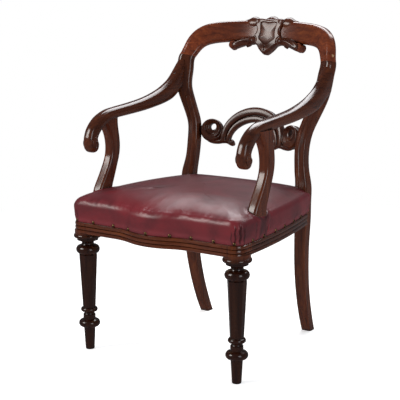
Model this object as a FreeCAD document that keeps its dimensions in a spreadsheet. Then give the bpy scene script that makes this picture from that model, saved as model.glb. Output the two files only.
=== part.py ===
import FreeCAD, Part

# Balloon back armchair with a stuffed leather seat, in millimetres.
# Frame: +Z up, the front of the chair faces -Y, X runs across it. Left and right are the sitter's,
# so the left side is +X. The model is drawn with y = 0 on the axes of the front legs and is then
# placed so that the origin lies on the floor under the middle of the chair.

import math
import os

import Sketcher
from FreeCAD import Vector


# Driving dimensions: name, value and what it measures
DIMENSIONS = [
    ("SeatRailBottom", 337, "floor to the underside of the seat rails"),
    ("MouldingHeight", 31, "height of the reeded moulding round the seat rails"),
    ("RailHeight", 62, "height of the seat rails"),
    ("RailThickness", 24, "thickness of the seat rails"),
    ("MouldingProjection", 6, "reeds beyond the face of the rails"),
    ("FrontHalfWidth", 268, "middle of the chair to the side rail at the front corner"),
    ("BackHalfWidth", 204, "middle of the chair to the side rail at the back corner"),
    ("SideBow", 16, "outward bow of a side rail"),
    ("FrontRailY", -31, "face of the front rail at the corners"),
    ("FrontBelly", 25, "how far the middle of the serpentine front rail comes forward"),
    ("BellyHalfLength", 125, "middle of the front rail to the end of its belly"),
    ("BackRailY", 437, "back face of the back rail"),
    ("CornerRadius", 27, "rounded corners of the seat in plan"),
    ("LegHeadSize", 54, "side of the square head of a front leg"),
    ("FrontLegX", 243.5, "middle of the chair to the axis of a front leg"),
    ("LegFootRadius", 12.6, "radius at the foot of a front leg"),
    ("LegAnkleRadius", 15.9, "radius at the top of the plain foot"),
    ("LegRingRadius", 29.5, "radius of the big ring above the foot"),
    ("LegSmallRingRadius", 23.5, "radius of the small ring under the column"),
    ("LegNeckRadius", 17, "radius of the necks between the rings"),
    ("LegColumnBottomRadius", 17, "eight-sided column, axis to flat, at its foot"),
    ("LegColumnTopRadius", 23.9, "eight-sided column, axis to flat, at its top"),
    ("LegBallRadius", 32, "radius of the ball under the leg head"),
    ("LegCollarRadius", 38, "radius of the collar under the leg head"),
    ("LegRingHeight", 76, "floor to the middle of the big ring"),
    ("LegSmallRingHeight", 115, "floor to the middle of the small ring"),
    ("LegColumnTop", 272.5, "floor to the top of the column"),
    ("BackFootX", 180, "middle of the chair to the middle of a back foot"),
    ("BackFootY", 490, "front leg axes to the middle of a back foot"),
    ("BackFootSize", 30, "side of the square back foot"),
    ("StileSeatX", 195, "middle of the chair to the middle of a stile at the seat"),
    ("StileSeatSize", 38, "width of a stile at the seat"),
    ("StileWaistX", 184, "middle of the chair to the middle of a stile at its waist"),
    ("StileWaistHeight", 535, "floor to the waist of a stile"),
    ("StileWaistWidth", 32.5, "width of a stile at its waist"),
    ("ShoulderX", 238, "middle of the chair to the middle of the hoop at the shoulder joint"),
    ("ShoulderHeight", 787, "floor to the shoulder joint"),
    ("ShoulderWidth", 48, "width of the hoop at the shoulder joint"),
    ("CrestHeight", 860.5, "floor to the middle line of the crest rail"),
    ("CrestWidth", 65, "height of the crest rail at the middle"),
    ("BackThickness", 33, "front to back thickness of the stiles and the crest rail"),
    ("BackSeatY", 467, "front leg axes to the back surface at the seat, on the middle line"),
    ("BackPlanRadius", 400, "plan radius of the concave back"),
    ("BackRake", 0.32, "how far the back leans for each unit of height"),
    ("LobeRadius", 22, "radius of the three lobes on the crest rail"),
    ("LobeSpacing", 60, "distance between the lobes"),
    ("LobeTop", 904, "floor to the top of the middle lobe"),
    ("LobeDepth", 24, "front to back depth of the lobes"),
    ("CurlDepth", 24, "front to back depth of the curls"),
    ("CurlRadius", 12, "radius of the two curls under the crest rail"),
    ("CurlX", 114, "middle of the chair to a curl"),
    ("CurlHeight", 818, "floor to the middle of a curl"),
    ("ShieldHalfWidth", 51, "half width of the shield at its lugs"),
    ("ShieldTop", 893, "floor to the top of the shield"),
    ("ShieldTip", 788, "floor to the tip of the shield"),
    ("ShieldProjection", 10, "shield in front of the crest rail"),
    ("ScrollRadius", 34, "radius of the scroll at each end of the cross rail"),
    ("ScrollX", 136, "middle of the chair to the middle of a scroll"),
    ("ScrollHeight", 571, "floor to the middle of a scroll"),
    ("ScrollEyeRadius", 10, "radius of the eye through a scroll"),
    ("ArchHeight", 622, "floor to the middle line of the arch of the cross rail"),
    ("ArchHalfWidth", 92, "half the width of the arch on its middle line"),
    ("ArchFoot", 549, "floor to the feet of the arch"),
    ("ArchWidth", 43, "width of the arch at its top"),
    ("CrossRailThickness", 25, "thickness of the cross rail"),
    ("KnobRadius", 10, "radius of the knobs at the feet of the arch"),
    ("TenonThickness", 10, "thickness of the tenons of the cross rail"),
    ("TenonHeight", 40, "height of the tenons of the cross rail"),
    ("TenonHalfLength", 16, "half the length of a tenon of the cross rail"),
    ("ArmX", 245.5, "middle of the chair to the middle of an arm"),
    ("ArmWidth", 32, "width of an arm"),
    ("ArmHeight", 651, "floor to the middle of the arm over its support"),
    ("ArmBackHeight", 738, "floor to the middle of the arm at the stile"),
    ("ArmKnobRadius", 22, "radius of the rolled end of an arm"),
    ("ArmKnobY", 27, "front leg axes to the middle of the rolled end"),
    ("ArmKnobHeight", 573, "floor to the middle of the rolled end"),
    ("SupportX", 252, "middle of the chair to the middle of an arm support"),
    ("SupportWidth", 31, "width of an arm support"),
    ("SupportFootY", 75, "front leg axes to the middle of the foot of an arm support"),
    ("SupportFootDepth", 58, "front to back depth of the foot of an arm support"),
    ("BlockLeg", 62, "length of a corner block along the rails"),
    ("BlockHeight", 34, "height of a corner block"),
    ("ScrewRadius", 2.2, "radius of the screws"),
    ("ScrewHeadRadius", 4.4, "radius of the countersunk screw heads"),
    ("ScrewBite", 17, "how far the block screws enter the rails"),
    ("ArmScrewLength", 60, "length of the screws into the arms"),
    ("PlugDepth", 8, "depth of the plugs over the arm screws"),
    ("PlugRadius", 5.5, "radius of the plugs over the arm screws"),
    ("DowelRadius", 5, "radius of the dowels"),
    ("DowelLength", 44, "length of the dowels"),
    ("WebWidth", 50, "width of the webbing"),
    ("WebThickness", 2, "thickness of the webbing"),
    ("WebPitchAcross", 112, "spacing of the front to back webbing"),
    ("WebPitchAlong", 95, "spacing of the side to side webbing"),
    ("WebFirstY", 145, "front leg axes to the first side to side webbing"),
    ("TackHeadRadius", 3.5, "radius of the webbing tack heads"),
    ("TackLength", 11, "length of the webbing tacks"),
    ("HessianThickness", 1, "thickness of the hessian"),
    ("LeatherThickness", 2.5, "thickness of the seat leather"),
    ("SeatCrown", 457, "floor to the crown of the seat"),
    ("SeatEdgeHeight", 414, "floor to where the sides of the seat begin to round over"),
    ("SeatEdgeRadius", 20, "radius of the rounded top edge of the seat"),
    ("SeatSwell", 3, "how far the sides of the seat swell beyond the rails"),
    ("NailHeadRadius", 4.6, "radius of the brass nail heads"),
    ("NailSpacing", 64, "spacing of the brass nails"),
    ("NailLength", 12, "length of the shank of a brass nail"),
    ("NailHeight", 372.5, "floor to the row of brass nails"),
]

doc = FreeCAD.newDocument("BalloonBackArmchair")
sheet = doc.addObject("Spreadsheet::Sheet", "Sizes")
for row, (name, value, meaning) in enumerate(DIMENSIONS, start=1):
    sheet.set("A%d" % row, meaning)
    sheet.set("B%d" % row, str(value))
    sheet.setAlias("B%d" % row, name)
doc.recompute()


def size(name):
    """The value of one driving dimension."""
    return float(sheet.get(name))


def shaped(name, shape):
    """An object whose shape is built here from the sheet's sizes."""
    thing = doc.addObject("Part::Feature", name)
    thing.Shape = shape
    return thing


def cylinder(name, start, direction, radius, length):
    """A cylinder from start along direction; radius and length are formulas of the sheet."""
    thing = doc.addObject("Part::Cylinder", name)
    thing.setExpression("Radius", radius)
    thing.setExpression("Height", length)
    turn = FreeCAD.Rotation(Vector(0, 0, 1), Vector(direction))
    thing.Placement = FreeCAD.Placement(start, turn)
    return thing


def cuboid(name, low, high):
    """A box between two corners, each given as three formulas of the sheet."""
    thing = doc.addObject("Part::Box", name)
    for side, axis, start, stop in zip(("Length", "Width", "Height"), "xyz", low, high):
        thing.setExpression(side, "(%s) - (%s)" % (stop, start))
        thing.setExpression("Placement.Base." + axis, start)
    return thing


def group(name, members):
    thing = doc.addObject("Part::Compound", name)
    thing.Links = members
    return thing


def fused(name, members):
    thing = doc.addObject("Part::MultiFuse", name)
    thing.Shapes = members
    thing.Refine = True
    return thing


def cut(name, base, tool):
    thing = doc.addObject("Part::Cut", name)
    thing.Base = base
    thing.Tool = tool
    return thing


def common(name, base, tool):
    thing = doc.addObject("Part::Common", name)
    thing.Base = base
    thing.Tool = tool
    return thing


def mirror_of(name, source):
    """The same object on the other side of the chair."""
    thing = doc.addObject("Part::Mirroring", name)
    thing.Source = source
    thing.Normal = Vector(1, 0, 0)
    return thing


def linked(name, source, place, direction=Vector(0, 0, 1)):
    """A further copy of a body, its Z axis turned along direction."""
    thing = doc.addObject("App::Link", name)
    thing.LinkedObject = source
    thing.Placement = FreeCAD.Placement(place, FreeCAD.Rotation(Vector(0, 0, 1), Vector(direction)))
    return thing


def value_of(thing, formula):
    """The number that a formula of the sheet gives."""
    found = thing.evalExpression(formula)
    return float(getattr(found, "Value", found))


def arc_radius(first, second, rise):
    """The formula of an arc's radius from its two end stations and its rise over the chord."""
    chord = "((%s) - (%s))^2 + ((%s) - (%s))^2" % (second[0], first[0], second[1], first[1])
    return "((%s) / 4 + (%s)^2) / (2 * abs(%s))" % (chord, rise, rise)


def outline_sketch(body, name, role, stations):
    """A closed outline in a plane of the body's origin.

    Each station is two formulas for its place, and the rise of the arc that follows it, or None
    where a straight line follows. A rise to the right of the way round is positive.
    """
    sketch = body.newObject("Sketcher::SketchObject", name)
    plane = [feature for feature in body.Origin.OriginFeatures if feature.Role == role][0]
    sketch.AttachmentSupport = [(plane, "")]
    sketch.MapMode = "FlatFace"
    count = len(stations)
    points = [Vector(value_of(sketch, x), value_of(sketch, y), 0) for x, y, rise in stations]
    for index, (x, y, rise) in enumerate(stations):
        start = points[index]
        stop = points[(index + 1) % count]
        if rise is None:
            sketch.addGeometry(Part.LineSegment(start, stop), False)
            continue
        way = stop - start
        right = Vector(way.y, -way.x, 0).normalize()
        top = (start + stop) / 2 + right * value_of(sketch, rise)
        sketch.addGeometry(Part.Arc(start, top, stop), False)
    starts = []
    for index in range(count):
        gap = (sketch.getPoint(index, 1) - points[index]).Length
        starts.append(1 if gap < 1e-6 else 2)
    for index in range(count):
        following = (index + 1) % count
        sketch.addConstraint(Sketcher.Constraint(
            "Coincident", index, 3 - starts[index], following, starts[following]))
    for index, (x, y, rise) in enumerate(stations):
        point = points[index]
        for kind, formula, number in (("DistanceX", x, point.x), ("DistanceY", y, point.y)):
            made = sketch.addConstraint(Sketcher.Constraint(
                kind, -1, 1, index, starts[index], number))
            sketch.setExpression("Constraints[%d]" % made, formula)
        if rise is not None:
            formula = arc_radius(stations[index], stations[(index + 1) % count], rise)
            made = sketch.addConstraint(Sketcher.Constraint(
                "Radius", index, value_of(sketch, formula)))
            sketch.setExpression("Constraints[%d]" % made, formula)
    return sketch


def turned_body(name, stations):
    """A body turned about Z from a half profile in its XZ plane."""
    body = doc.addObject("PartDesign::Body", name)
    profile = outline_sketch(body, name + "_profile", "XZ_Plane", stations)
    turning = body.newObject("PartDesign::Revolution", name + "_turning")
    turning.Profile = profile
    turning.ReferenceAxis = (profile, ["V_Axis"])
    turning.Angle = 360
    return body


def sawn_body(name, role, stations, thickness, middle=False):
    """A body sawn from a board: an outline padded to a thickness, a formula of the sheet."""
    body = doc.addObject("PartDesign::Body", name)
    profile = outline_sketch(body, name + "_outline", role, stations)
    pad = body.newObject("PartDesign::Pad", name + "_pad")
    pad.Profile = profile
    pad.setExpression("Length", thickness)
    if middle:
        pad.SideType = "Symmetric"
    return body


def mirrored(shape, sign):
    """The same shape for the left side (sign 1) or mirrored for the right side (sign -1)."""
    if sign > 0:
        return shape
    return shape.mirror(Vector(0, 0, 0), Vector(1, 0, 0))


RAIL_BOTTOM = size("SeatRailBottom")
RAIL_TOP = RAIL_BOTTOM + size("RailHeight")
MOULDING_TOP = RAIL_BOTTOM + size("MouldingHeight")
RAIL_INSIDE = -size("RailThickness")


# Outlines and sections

def rounded_section(centre, across, deep, width, depth, radius):
    """A rectangle with round corners as a closed wire of four lines and four arcs."""
    half_w = width / 2
    half_d = depth / 2
    reach = radius * (1 - math.sqrt(0.5))

    def at(a, d):
        return centre + across * a + deep * d

    edges = []
    for turn in range(4):
        # One side and the corner after it; the four sides follow each other round the section
        sa, sd = ((1, -1), (1, 1), (-1, 1), (-1, -1))[turn]
        ea, ed = ((1, 1), (-1, 1), (-1, -1), (1, -1))[turn]
        along_d = turn % 2 == 0
        if along_d:
            start = at(sa * half_w, sd * (half_d - radius))
            stop = at(ea * half_w, ed * (half_d - radius))
            corner_end = at(ea * (half_w - radius), ed * half_d)
        else:
            start = at(sa * (half_w - radius), sd * half_d)
            stop = at(ea * (half_w - radius), ed * half_d)
            corner_end = at(ea * half_w, ed * (half_d - radius))
        middle = at(ea * (half_w - reach), ed * (half_d - reach))
        edges.append(Part.makeLine(start, stop))
        edges.append(Part.Arc(stop, middle, corner_end).toShape())
    return Part.Wire(edges)


def largest(shape):
    """The one solid of a cut piece."""
    return max(shape.Solids, key=lambda solid: solid.Volume)


def loft(wires, ruled=False):
    """A solid through closed wires of the same make."""
    return Part.makeLoft(wires, True, ruled)


def seat_half_plan(z, out, calm=0.0):
    """The left half of the seat outline at height z, from the front middle to the back middle.

    out moves it outwards (inwards when negative). calm flattens the serpentine front and rounds
    the corners, as the padding does towards the crown.
    """
    front = size("FrontRailY") - out
    back = size("BackRailY") + out
    front_x = size("FrontHalfWidth") + out
    back_x = size("BackHalfWidth") + out
    belly = size("FrontBelly") * (1 - calm)
    belly_x = size("BellyHalfLength") * (1 - 0.4 * calm)
    corner = max(size("CornerRadius") + out, 3.0) + 60 * calm
    nip = corner * (1 - math.sqrt(0.5))

    def p(x, y):
        return Vector(x, y, z)

    def side_x(y):
        share = (y - front) / (back - front)
        bow = 4 * size("SideBow") * share * (1 - share)
        return front_x + (back_x - front_x) * share + bow

    belly_middle = p(belly_x / 2, front - belly / 2)
    turn_y = front + corner
    end_y = back - corner
    turn_x = side_x(turn_y)
    end_x = side_x(end_y)
    side_middle = (turn_y + end_y) / 2
    return [
        Part.Arc(p(0, front - belly), p(belly_x / 4, front - belly * 0.875),
                 belly_middle).toShape(),
        Part.Arc(belly_middle, p(belly_x * 3 / 4, front - belly * 0.125),
                 p(belly_x, front)).toShape(),
        Part.makeLine(p(belly_x, front), p(turn_x - corner, front)),
        Part.Arc(p(turn_x - corner, front), p(turn_x - nip, front + nip),
                 p(turn_x, turn_y)).toShape(),
        Part.Arc(p(turn_x, turn_y), p(side_x(side_middle), side_middle),
                 p(end_x, end_y)).toShape(),
        Part.Arc(p(end_x, end_y), p(end_x - nip, back - nip), p(end_x - corner, back)).toShape(),
        Part.makeLine(p(end_x - corner, back), p(0, back)),
    ]


def seat_plan(z, out, calm=0.0):
    """The closed outline of the seat at height z."""
    left_half = seat_half_plan(z, out, calm)
    right_half = [mirrored(edge, -1) for edge in reversed(left_half)]
    return Part.Wire(Part.__sortEdges__(left_half + right_half))


def plan_prism(z_low, z_high, out):
    """The seat outline raised from one height to another."""
    return Part.Face(seat_plan(z_low, out)).extrude(Vector(0, 0, z_high - z_low))


def box(x0, x1, y0, y1, z0, z1):
    return Part.makeBox(x1 - x0, y1 - y0, z1 - z0, Vector(x0, y0, z0))


def rod(radius, start, direction, length):
    return Part.makeCylinder(radius, length, start, direction)


# The barrel-shaped surface that the back is cut from

BACK_BEND_HEIGHT = size("StileWaistHeight") + 10
BACK_BEND_SOFTNESS = 40


def rake_at(z):
    """How far the back has leaned at height z."""
    rise = z - BACK_BEND_HEIGHT
    return size("BackRake") * (math.hypot(rise, BACK_BEND_SOFTNESS) + rise) / 2


def back_y(x, z):
    """The middle of the thickness of the back at x and z."""
    return size("BackSeatY") + rake_at(z) - x * x / (2 * size("BackPlanRadius"))


def back_point(x, z):
    return Vector(x, back_y(x, z), z)


def back_normal(x, z, turn=1.0):
    """The backwards normal; turn is the share of the plan curve that the section follows."""
    lean = (rake_at(z + 1) - rake_at(z - 1)) / 2
    return Vector(turn * x / size("BackPlanRadius"), 1, -lean).normalize()


def member_section(point, tangent, normal, width, depth, radius):
    """A section square to its path, as wide as the member across the back surface."""
    tangent = Vector(tangent).normalize()
    across = tangent.cross(normal).normalize()
    deep = across.cross(tangent).normalize()
    return rounded_section(point, across, deep, width, depth, radius)


def tangents(points, first, last):
    """The direction of a path at each point, with the given directions at its ends."""
    found = [first]
    for before, after in zip(points, points[2:]):
        found.append(after - before)
    found.append(last)
    return found


# Height above the waist and sideways travel of a stile between waist and shoulder, as shares of
# the whole rise and travel, with the share of the change in width
STILE_SWEEP = [
    (0.09, 0.01, 0.02),
    (0.23, 0.10, 0.08),
    (0.365, 0.34, 0.20),
    (0.504, 0.63, 0.45),
    (0.627, 0.86, 0.68),
    (0.754, 0.965, 0.88),
    (0.881, 1.0, 1.0),
    (1.0, 1.0, 1.0),
]

# Sideways travel and rise of the crest rail from shoulder to middle, as shares of the shoulder's
# distance from the middle and of the crest rail's rise, with the share of the change in width
CREST_SWEEP = [
    (0.954, 0.388, 0.15),
    (0.90, 0.66, 0.45),
    (0.805, 0.85, 0.70),
    (0.672, 0.94, 0.78),
    (0.504, 0.980, 0.82),
    (0.252, 1.0, 0.94),
    (0.0, 1.0, 1.0),
]

SHOULDER_TANGENT = Vector(0, size("BackRake"), 1)
EDGE_RADIUS = 6
HOOP_RADIUS = 13


def stile_stations():
    """The path of a left stile and sabre leg from foot to shoulder."""
    seat_y = back_y(size("StileSeatX"), RAIL_TOP)
    foot_travel = size("BackFootY") - seat_y
    stations = []
    for share in (0, 0.12, 0.27, 0.45, 0.65, 0.85):
        z = RAIL_BOTTOM * share
        x = size("BackFootX") + (size("StileSeatX") - size("BackFootX")) * share
        y = seat_y + foot_travel * (1 - share) ** 2.3
        side = size("BackFootSize") + (size("StileSeatSize") - 2 - size("BackFootSize")) * share
        stations.append((Vector(x, y, z), side, side, 0.0))
    for z in (RAIL_BOTTOM + 20, RAIL_TOP, RAIL_TOP + 42):
        point = back_point(size("StileSeatX"), z)
        stations.append((point, size("StileSeatSize"), size("StileSeatSize") - 2, 0.0))
    waist = size("StileWaistHeight")
    seat_to_waist = waist - RAIL_TOP - 42
    for share, bend, narrow in ((0.45, 0.62, 0.8), (1.0, 1.0, 1.0)):
        z = RAIL_TOP + 42 + seat_to_waist * share
        x = size("StileSeatX") + (size("StileWaistX") - size("StileSeatX")) * bend
        width = size("StileSeatSize") + (size("StileWaistWidth") - size("StileSeatSize")) * narrow
        stations.append((back_point(x, z), width, size("BackThickness"), 0.0))
    rise = size("ShoulderHeight") - waist
    travel = size("ShoulderX") - size("StileWaistX")
    widen = size("ShoulderWidth") - size("StileWaistWidth")
    for up, out, wider in STILE_SWEEP:
        point = back_point(size("StileWaistX") + travel * out, waist + rise * up)
        width = size("StileWaistWidth") + widen * wider
        stations.append((point, width, size("BackThickness"), up))
    return stations


def stile_shape():
    stations = stile_stations()
    points = [station[0] for station in stations]
    directions = tangents(points, Vector(0, 0, 1), SHOULDER_TANGENT)
    wires = []
    for (point, width, depth, turn), direction in zip(stations, directions):
        radius = EDGE_RADIUS + (HOOP_RADIUS - EDGE_RADIUS) * turn
        normal = back_normal(point.x, point.z, turn)
        if point.z < RAIL_TOP:
            normal = Vector(0, 1, 0)
        wires.append(member_section(point, direction, normal, width, depth, radius))
    return loft(wires)


def crest_stations():
    """The path of the left half of the crest rail from the shoulder to the middle."""
    stations = [(size("ShoulderX"), size("ShoulderHeight"), size("ShoulderWidth"))]
    rise = size("CrestHeight") - size("ShoulderHeight")
    widen = size("CrestWidth") - size("ShoulderWidth")
    for out, up, wider in CREST_SWEEP:
        stations.append((size("ShoulderX") * out, size("ShoulderHeight") + rise * up,
                         size("ShoulderWidth") + widen * wider))
    return stations


def crest_hoop():
    left = crest_stations()
    right = [(-x, z, width) for x, z, width in reversed(left[:-1])]
    stations = left + right
    points = [back_point(x, z) for x, z, width in stations]
    last = Vector(0, -SHOULDER_TANGENT.y, -1)
    directions = tangents(points, SHOULDER_TANGENT, last)
    wires = []
    for (x, z, width), point, direction in zip(stations, points, directions):
        normal = back_normal(x, z)
        wires.append(member_section(point, direction, normal, width, size("BackThickness"),
                                    HOOP_RADIUS))
    return loft(wires)


def boss(name, x, z, radius, thickness, forward=0.0):
    """A round boss square to the back surface; its radius and thickness are formulas."""
    normal = back_normal(x, z)
    start = back_point(x, z) - normal * (value_of(sheet, thickness) / 2 + forward)
    return cylinder(name, start, normal, radius, thickness)


def facing(x, z):
    """A placement on the back surface: X across it, Y up it and Z forwards."""
    forwards = back_normal(x, z) * -1
    across = Vector(0, 0, 1).cross(back_normal(x, z) * -1).normalize() * -1
    upwards = forwards.cross(across)
    return FreeCAD.Placement(back_point(x, z), FreeCAD.Rotation(across, upwards, forwards, "ZXY"))


# The stiles and the crest rail with its carving

STILE_BLANK = shaped("stile_blank", stile_shape())
STILE_BLANK_RIGHT = mirror_of("stile_blank_right", STILE_BLANK)
HOOP_BLANK = shaped("hoop_blank", crest_hoop())
CURL = boss("curl", size("CurlX"), size("CurlHeight"), "Sizes.CurlRadius", "Sizes.CurlDepth", 2)
CREST_BLANK = fused("crest_blank", [HOOP_BLANK, CURL, mirror_of("curl_right", CURL)])

# Half the outline of the shield from its tip round the lug and the waist to the top edge: its
# place as shares of the half width and of the height above the middle, and the rise of the arc
# that follows as a share of the half width
SHIELD_SIDE = [
    (0, -0.5, 0.088),
    (0.62, -0.23, 0.235),
    (0.92, -0.03, -0.255),
    (1, 0.44, 0.133),
]
SHIELD_NOTCH = 0.43


def shield_stations():
    places = [(x, y) for x, y, rise in SHIELD_SIDE]
    places += [(0, SHIELD_NOTCH)] + [(-x, y) for x, y in reversed(places[1:])]
    rises = [rise for x, y, rise in SHIELD_SIDE]
    rises += rises[::-1]
    tall = "(Sizes.ShieldTop - Sizes.ShieldTip)"
    return [("%g * Sizes.ShieldHalfWidth" % x, "%g * %s" % (y, tall),
             "%g * Sizes.ShieldHalfWidth" % rise) for (x, y), rise in zip(places, rises)]


SHIELD = sawn_body("shield", "XY_Plane", shield_stations(),
                   "Sizes.ShieldProjection + Sizes.BackThickness / 2")
SHIELD.Placement = facing(0, (size("ShieldTop") + size("ShieldTip")) / 2)
LOBE_FORWARD = 8.5
SIDE_LOBE_DROP = 4
LOBE_HEIGHT = size("LobeTop") - size("LobeRadius")
MIDDLE_LOBE = boss("middle_lobe", 0, LOBE_HEIGHT, "Sizes.LobeRadius", "Sizes.LobeDepth",
                   LOBE_FORWARD)
SIDE_LOBE = boss("side_lobe", size("LobeSpacing"), LOBE_HEIGHT - SIDE_LOBE_DROP,
                 "Sizes.LobeRadius", "Sizes.LobeDepth", LOBE_FORWARD)
CARVING_BLANK = fused("carving_blank", [SHIELD, MIDDLE_LOBE, SIDE_LOBE,
                                        mirror_of("side_lobe_right", SIDE_LOBE)])


# The cross rail: an arch between two scrolls, each with an eye, tenoned into the stiles

ARCH_FOOT_SHARE = 0.78
ARCH_EDGE = 7
ARCH_STEPS = 12
KNOB_DROP = 8
EYE_RISE = 11
EYE_INSET = 3


def arch_shape():
    tall = size("ArchHeight") - size("ArchFoot")
    points = []
    for step in range(ARCH_STEPS + 1):
        angle = math.pi * step / ARCH_STEPS
        x = size("ArchHalfWidth") * math.cos(angle)
        points.append(back_point(x, size("ArchFoot") + tall * math.sin(angle)))
    directions = tangents(points, points[1] - points[0], points[-1] - points[-2])
    sections = []
    for point, direction in zip(points, directions):
        share = (point.z - size("ArchFoot")) / tall
        width = size("ArchWidth") * (ARCH_FOOT_SHARE + (1 - ARCH_FOOT_SHARE) * share)
        normal = back_normal(point.x, point.z)
        sections.append(member_section(point, direction, normal, width,
                                       size("CrossRailThickness"), ARCH_EDGE))
    return loft(sections)


SCROLL = boss("scroll", size("ScrollX"), size("ScrollHeight"), "Sizes.ScrollRadius",
              "Sizes.CrossRailThickness")
KNOB = boss("knob", size("ArchHalfWidth") - size("ArchWidth") / 2, size("ArchFoot") - KNOB_DROP,
            "Sizes.KnobRadius", "Sizes.CrossRailThickness")
TENON_Y = "%.4f" % back_point(size("StileWaistX") - 10, size("ScrollHeight")).y
TENON = cuboid("tenon", (
    "Sizes.StileWaistX - Sizes.TenonHalfLength - 10",
    TENON_Y + " - Sizes.TenonThickness / 2",
    "Sizes.ScrollHeight - Sizes.TenonHeight / 2",
), (
    "Sizes.StileWaistX + Sizes.TenonHalfLength - 10",
    TENON_Y + " + Sizes.TenonThickness / 2",
    "Sizes.ScrollHeight + Sizes.TenonHeight / 2",
))
ARCH = shaped("arch", arch_shape())
CROSS_BLANK = fused("cross_rail_blank", [ARCH, SCROLL, KNOB, TENON] + [
    mirror_of(one.Name + "_right", one) for one in (SCROLL, KNOB, TENON)])
CROSS_BLANK.Refine = False
EYE = boss("eye", size("ScrollX") - EYE_INSET, size("ScrollHeight") + EYE_RISE,
           "Sizes.ScrollEyeRadius", "2 * Sizes.CrossRailThickness")
ARCH_EYED = cut("arch_eyed", ARCH, group("eyes", [EYE, mirror_of("eye_right", EYE)]))
END_BLANK = fused("end_blank", [SCROLL, KNOB, TENON])
END_BLANK.Refine = False
END_EYED = cut("end_eyed", END_BLANK, EYE)
CROSS_RAIL = fused("cross_rail", [ARCH_EYED, END_EYED, mirror_of("end_eyed_right", END_EYED)])
CROSS_RAIL.Refine = False


# The reeded frame round the seat, cut into rails and leg heads

REED_COUNT = 3
REED_STEPS = 4
REED_SHARE = 0.55


def moulding_ring():
    """The whole moulding as one ring: a stack of half-round reeds round the seat outline."""
    reed_height = size("MouldingHeight") / REED_COUNT
    reed_depth = size("MouldingProjection") * REED_SHARE
    root = size("MouldingProjection") - reed_depth
    wires = []
    for reed in range(REED_COUNT):
        for step in range(REED_STEPS + 1):
            if reed > 0 and step == 0:
                continue
            angle = math.pi * step / REED_STEPS
            z = RAIL_BOTTOM + reed_height * (reed + (1 - math.cos(angle)) / 2)
            wires.append(seat_plan(z, root + reed_depth * math.sin(angle)))
    return loft(wires, True)


RAIL_TOP_CELLS = "(Sizes.SeatRailBottom + Sizes.RailHeight)"
HEAD_INNER = "(Sizes.FrontLegX - Sizes.LegHeadSize / 2)"
HEAD_BACK = "(Sizes.FrontRailY + Sizes.LegHeadSize)"
HEAD_INNER_X = size("FrontLegX") - size("LegHeadSize") / 2
HEAD_BACK_Y = size("FrontRailY") + size("LegHeadSize")
BACK_RAIL_FRONT = size("BackRailY") - size("RailThickness")
STILE_FRONT_Y = back_y(size("StileSeatX"), RAIL_TOP) - size("StileSeatSize") / 2 + 1
STILE_INNER_X = size("StileSeatX") - size("StileSeatSize") / 2
FAR = "400"

MOULDING = shaped("moulding", moulding_ring())
FRAME_UPPER = shaped("frame_upper", plan_prism(MOULDING_TOP, RAIL_TOP, 0))
FRAME_BLOCK = fused("frame_block", [MOULDING, FRAME_UPPER])
FRAME_ROOM = shaped("frame_room", plan_prism(RAIL_BOTTOM - 1, RAIL_TOP + 1, RAIL_INSIDE))
FRAME_RING = cut("frame_ring", FRAME_BLOCK, FRAME_ROOM)
BELOW_RAILS = "Sizes.SeatRailBottom - 1"
ABOVE_RAILS = RAIL_TOP_CELLS + " + 1"
FRONT_RAIL_BLANK = common("front_rail_blank", FRAME_RING, cuboid(
    "front_rail_room", ("-" + HEAD_INNER, "-" + FAR, BELOW_RAILS),
    (HEAD_INNER, HEAD_BACK, ABOVE_RAILS)))
SIDE_RAIL_LENGTH = common("side_rail_length", FRAME_RING, cuboid(
    "side_rail_room", (HEAD_INNER + " / 2", HEAD_BACK, BELOW_RAILS),
    (FAR, "%.4f" % (STILE_FRONT_Y + 1), ABOVE_RAILS)))
SIDE_RAIL_BLANK = cut("side_rail_blank", SIDE_RAIL_LENGTH, STILE_BLANK)
BACK_RAIL_LENGTH = cuboid(
    "back_rail_length",
    ("-Sizes.StileSeatX", "Sizes.BackRailY - Sizes.RailThickness", "Sizes.SeatRailBottom"),
    ("Sizes.StileSeatX", "Sizes.BackRailY", RAIL_TOP_CELLS))
BACK_RAIL_LEFT_END = cut("back_rail_left_end", BACK_RAIL_LENGTH, STILE_BLANK)
BACK_RAIL_BLANK = cut("back_rail_blank", BACK_RAIL_LEFT_END, STILE_BLANK_RIGHT)


# A front leg: a turned leg with an eight-sided column and a square head

def leg_stations():
    """The half profile of the turned leg: a radius, a height and the rise of the arc after it."""
    foot = "Sizes.LegFootRadius"
    ankle = "Sizes.LegAnkleRadius"
    ring = "Sizes.LegRingRadius"
    small = "Sizes.LegSmallRingRadius"
    neck = "Sizes.LegNeckRadius"
    ring_z = "Sizes.LegRingHeight"
    small_z = "Sizes.LegSmallRingHeight"
    top = "Sizes.LegColumnTop"
    column = "Sizes.LegColumnTopRadius"
    ball = "Sizes.LegBallRadius"
    collar = "Sizes.LegCollarRadius"
    head = "Sizes.SeatRailBottom + 6"
    return [
        ("0", "0", None),
        (foot + " - 2", "0", "0.6"),
        (foot, "3", None),
        (ankle, ring_z + " - 12", None),
        (ring + " - 5", ring_z + " - 9", "5"),
        (ring + " - 5", ring_z + " + 9", None),
        (neck, ring_z + " + 12", None),
        (neck, small_z + " - 14", "-3"),
        (neck, small_z + " - 6", "%s - %s" % (small, neck)),
        (neck, small_z + " + 6", None),
        (neck, small_z + " + 10", None),
        (column + " - 1", top, None),
        (column + " + 1", top + " + 3", "%s - %s" % (ball, column)),
        (column, top + " + 26", None),
        (neck + " + 1", top + " + 28", "-2.5"),
        (neck + " + 3", top + " + 38", None),
        (collar + " - 9", top + " + 41", None),
        (collar + " - 9", top + " + 47", None),
        (collar + " - 2", top + " + 49", "2.5"),
        (collar + " - 3", top + " + 59", None),
        (collar + " - 3", head, None),
        ("0", head, None),
    ]


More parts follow.
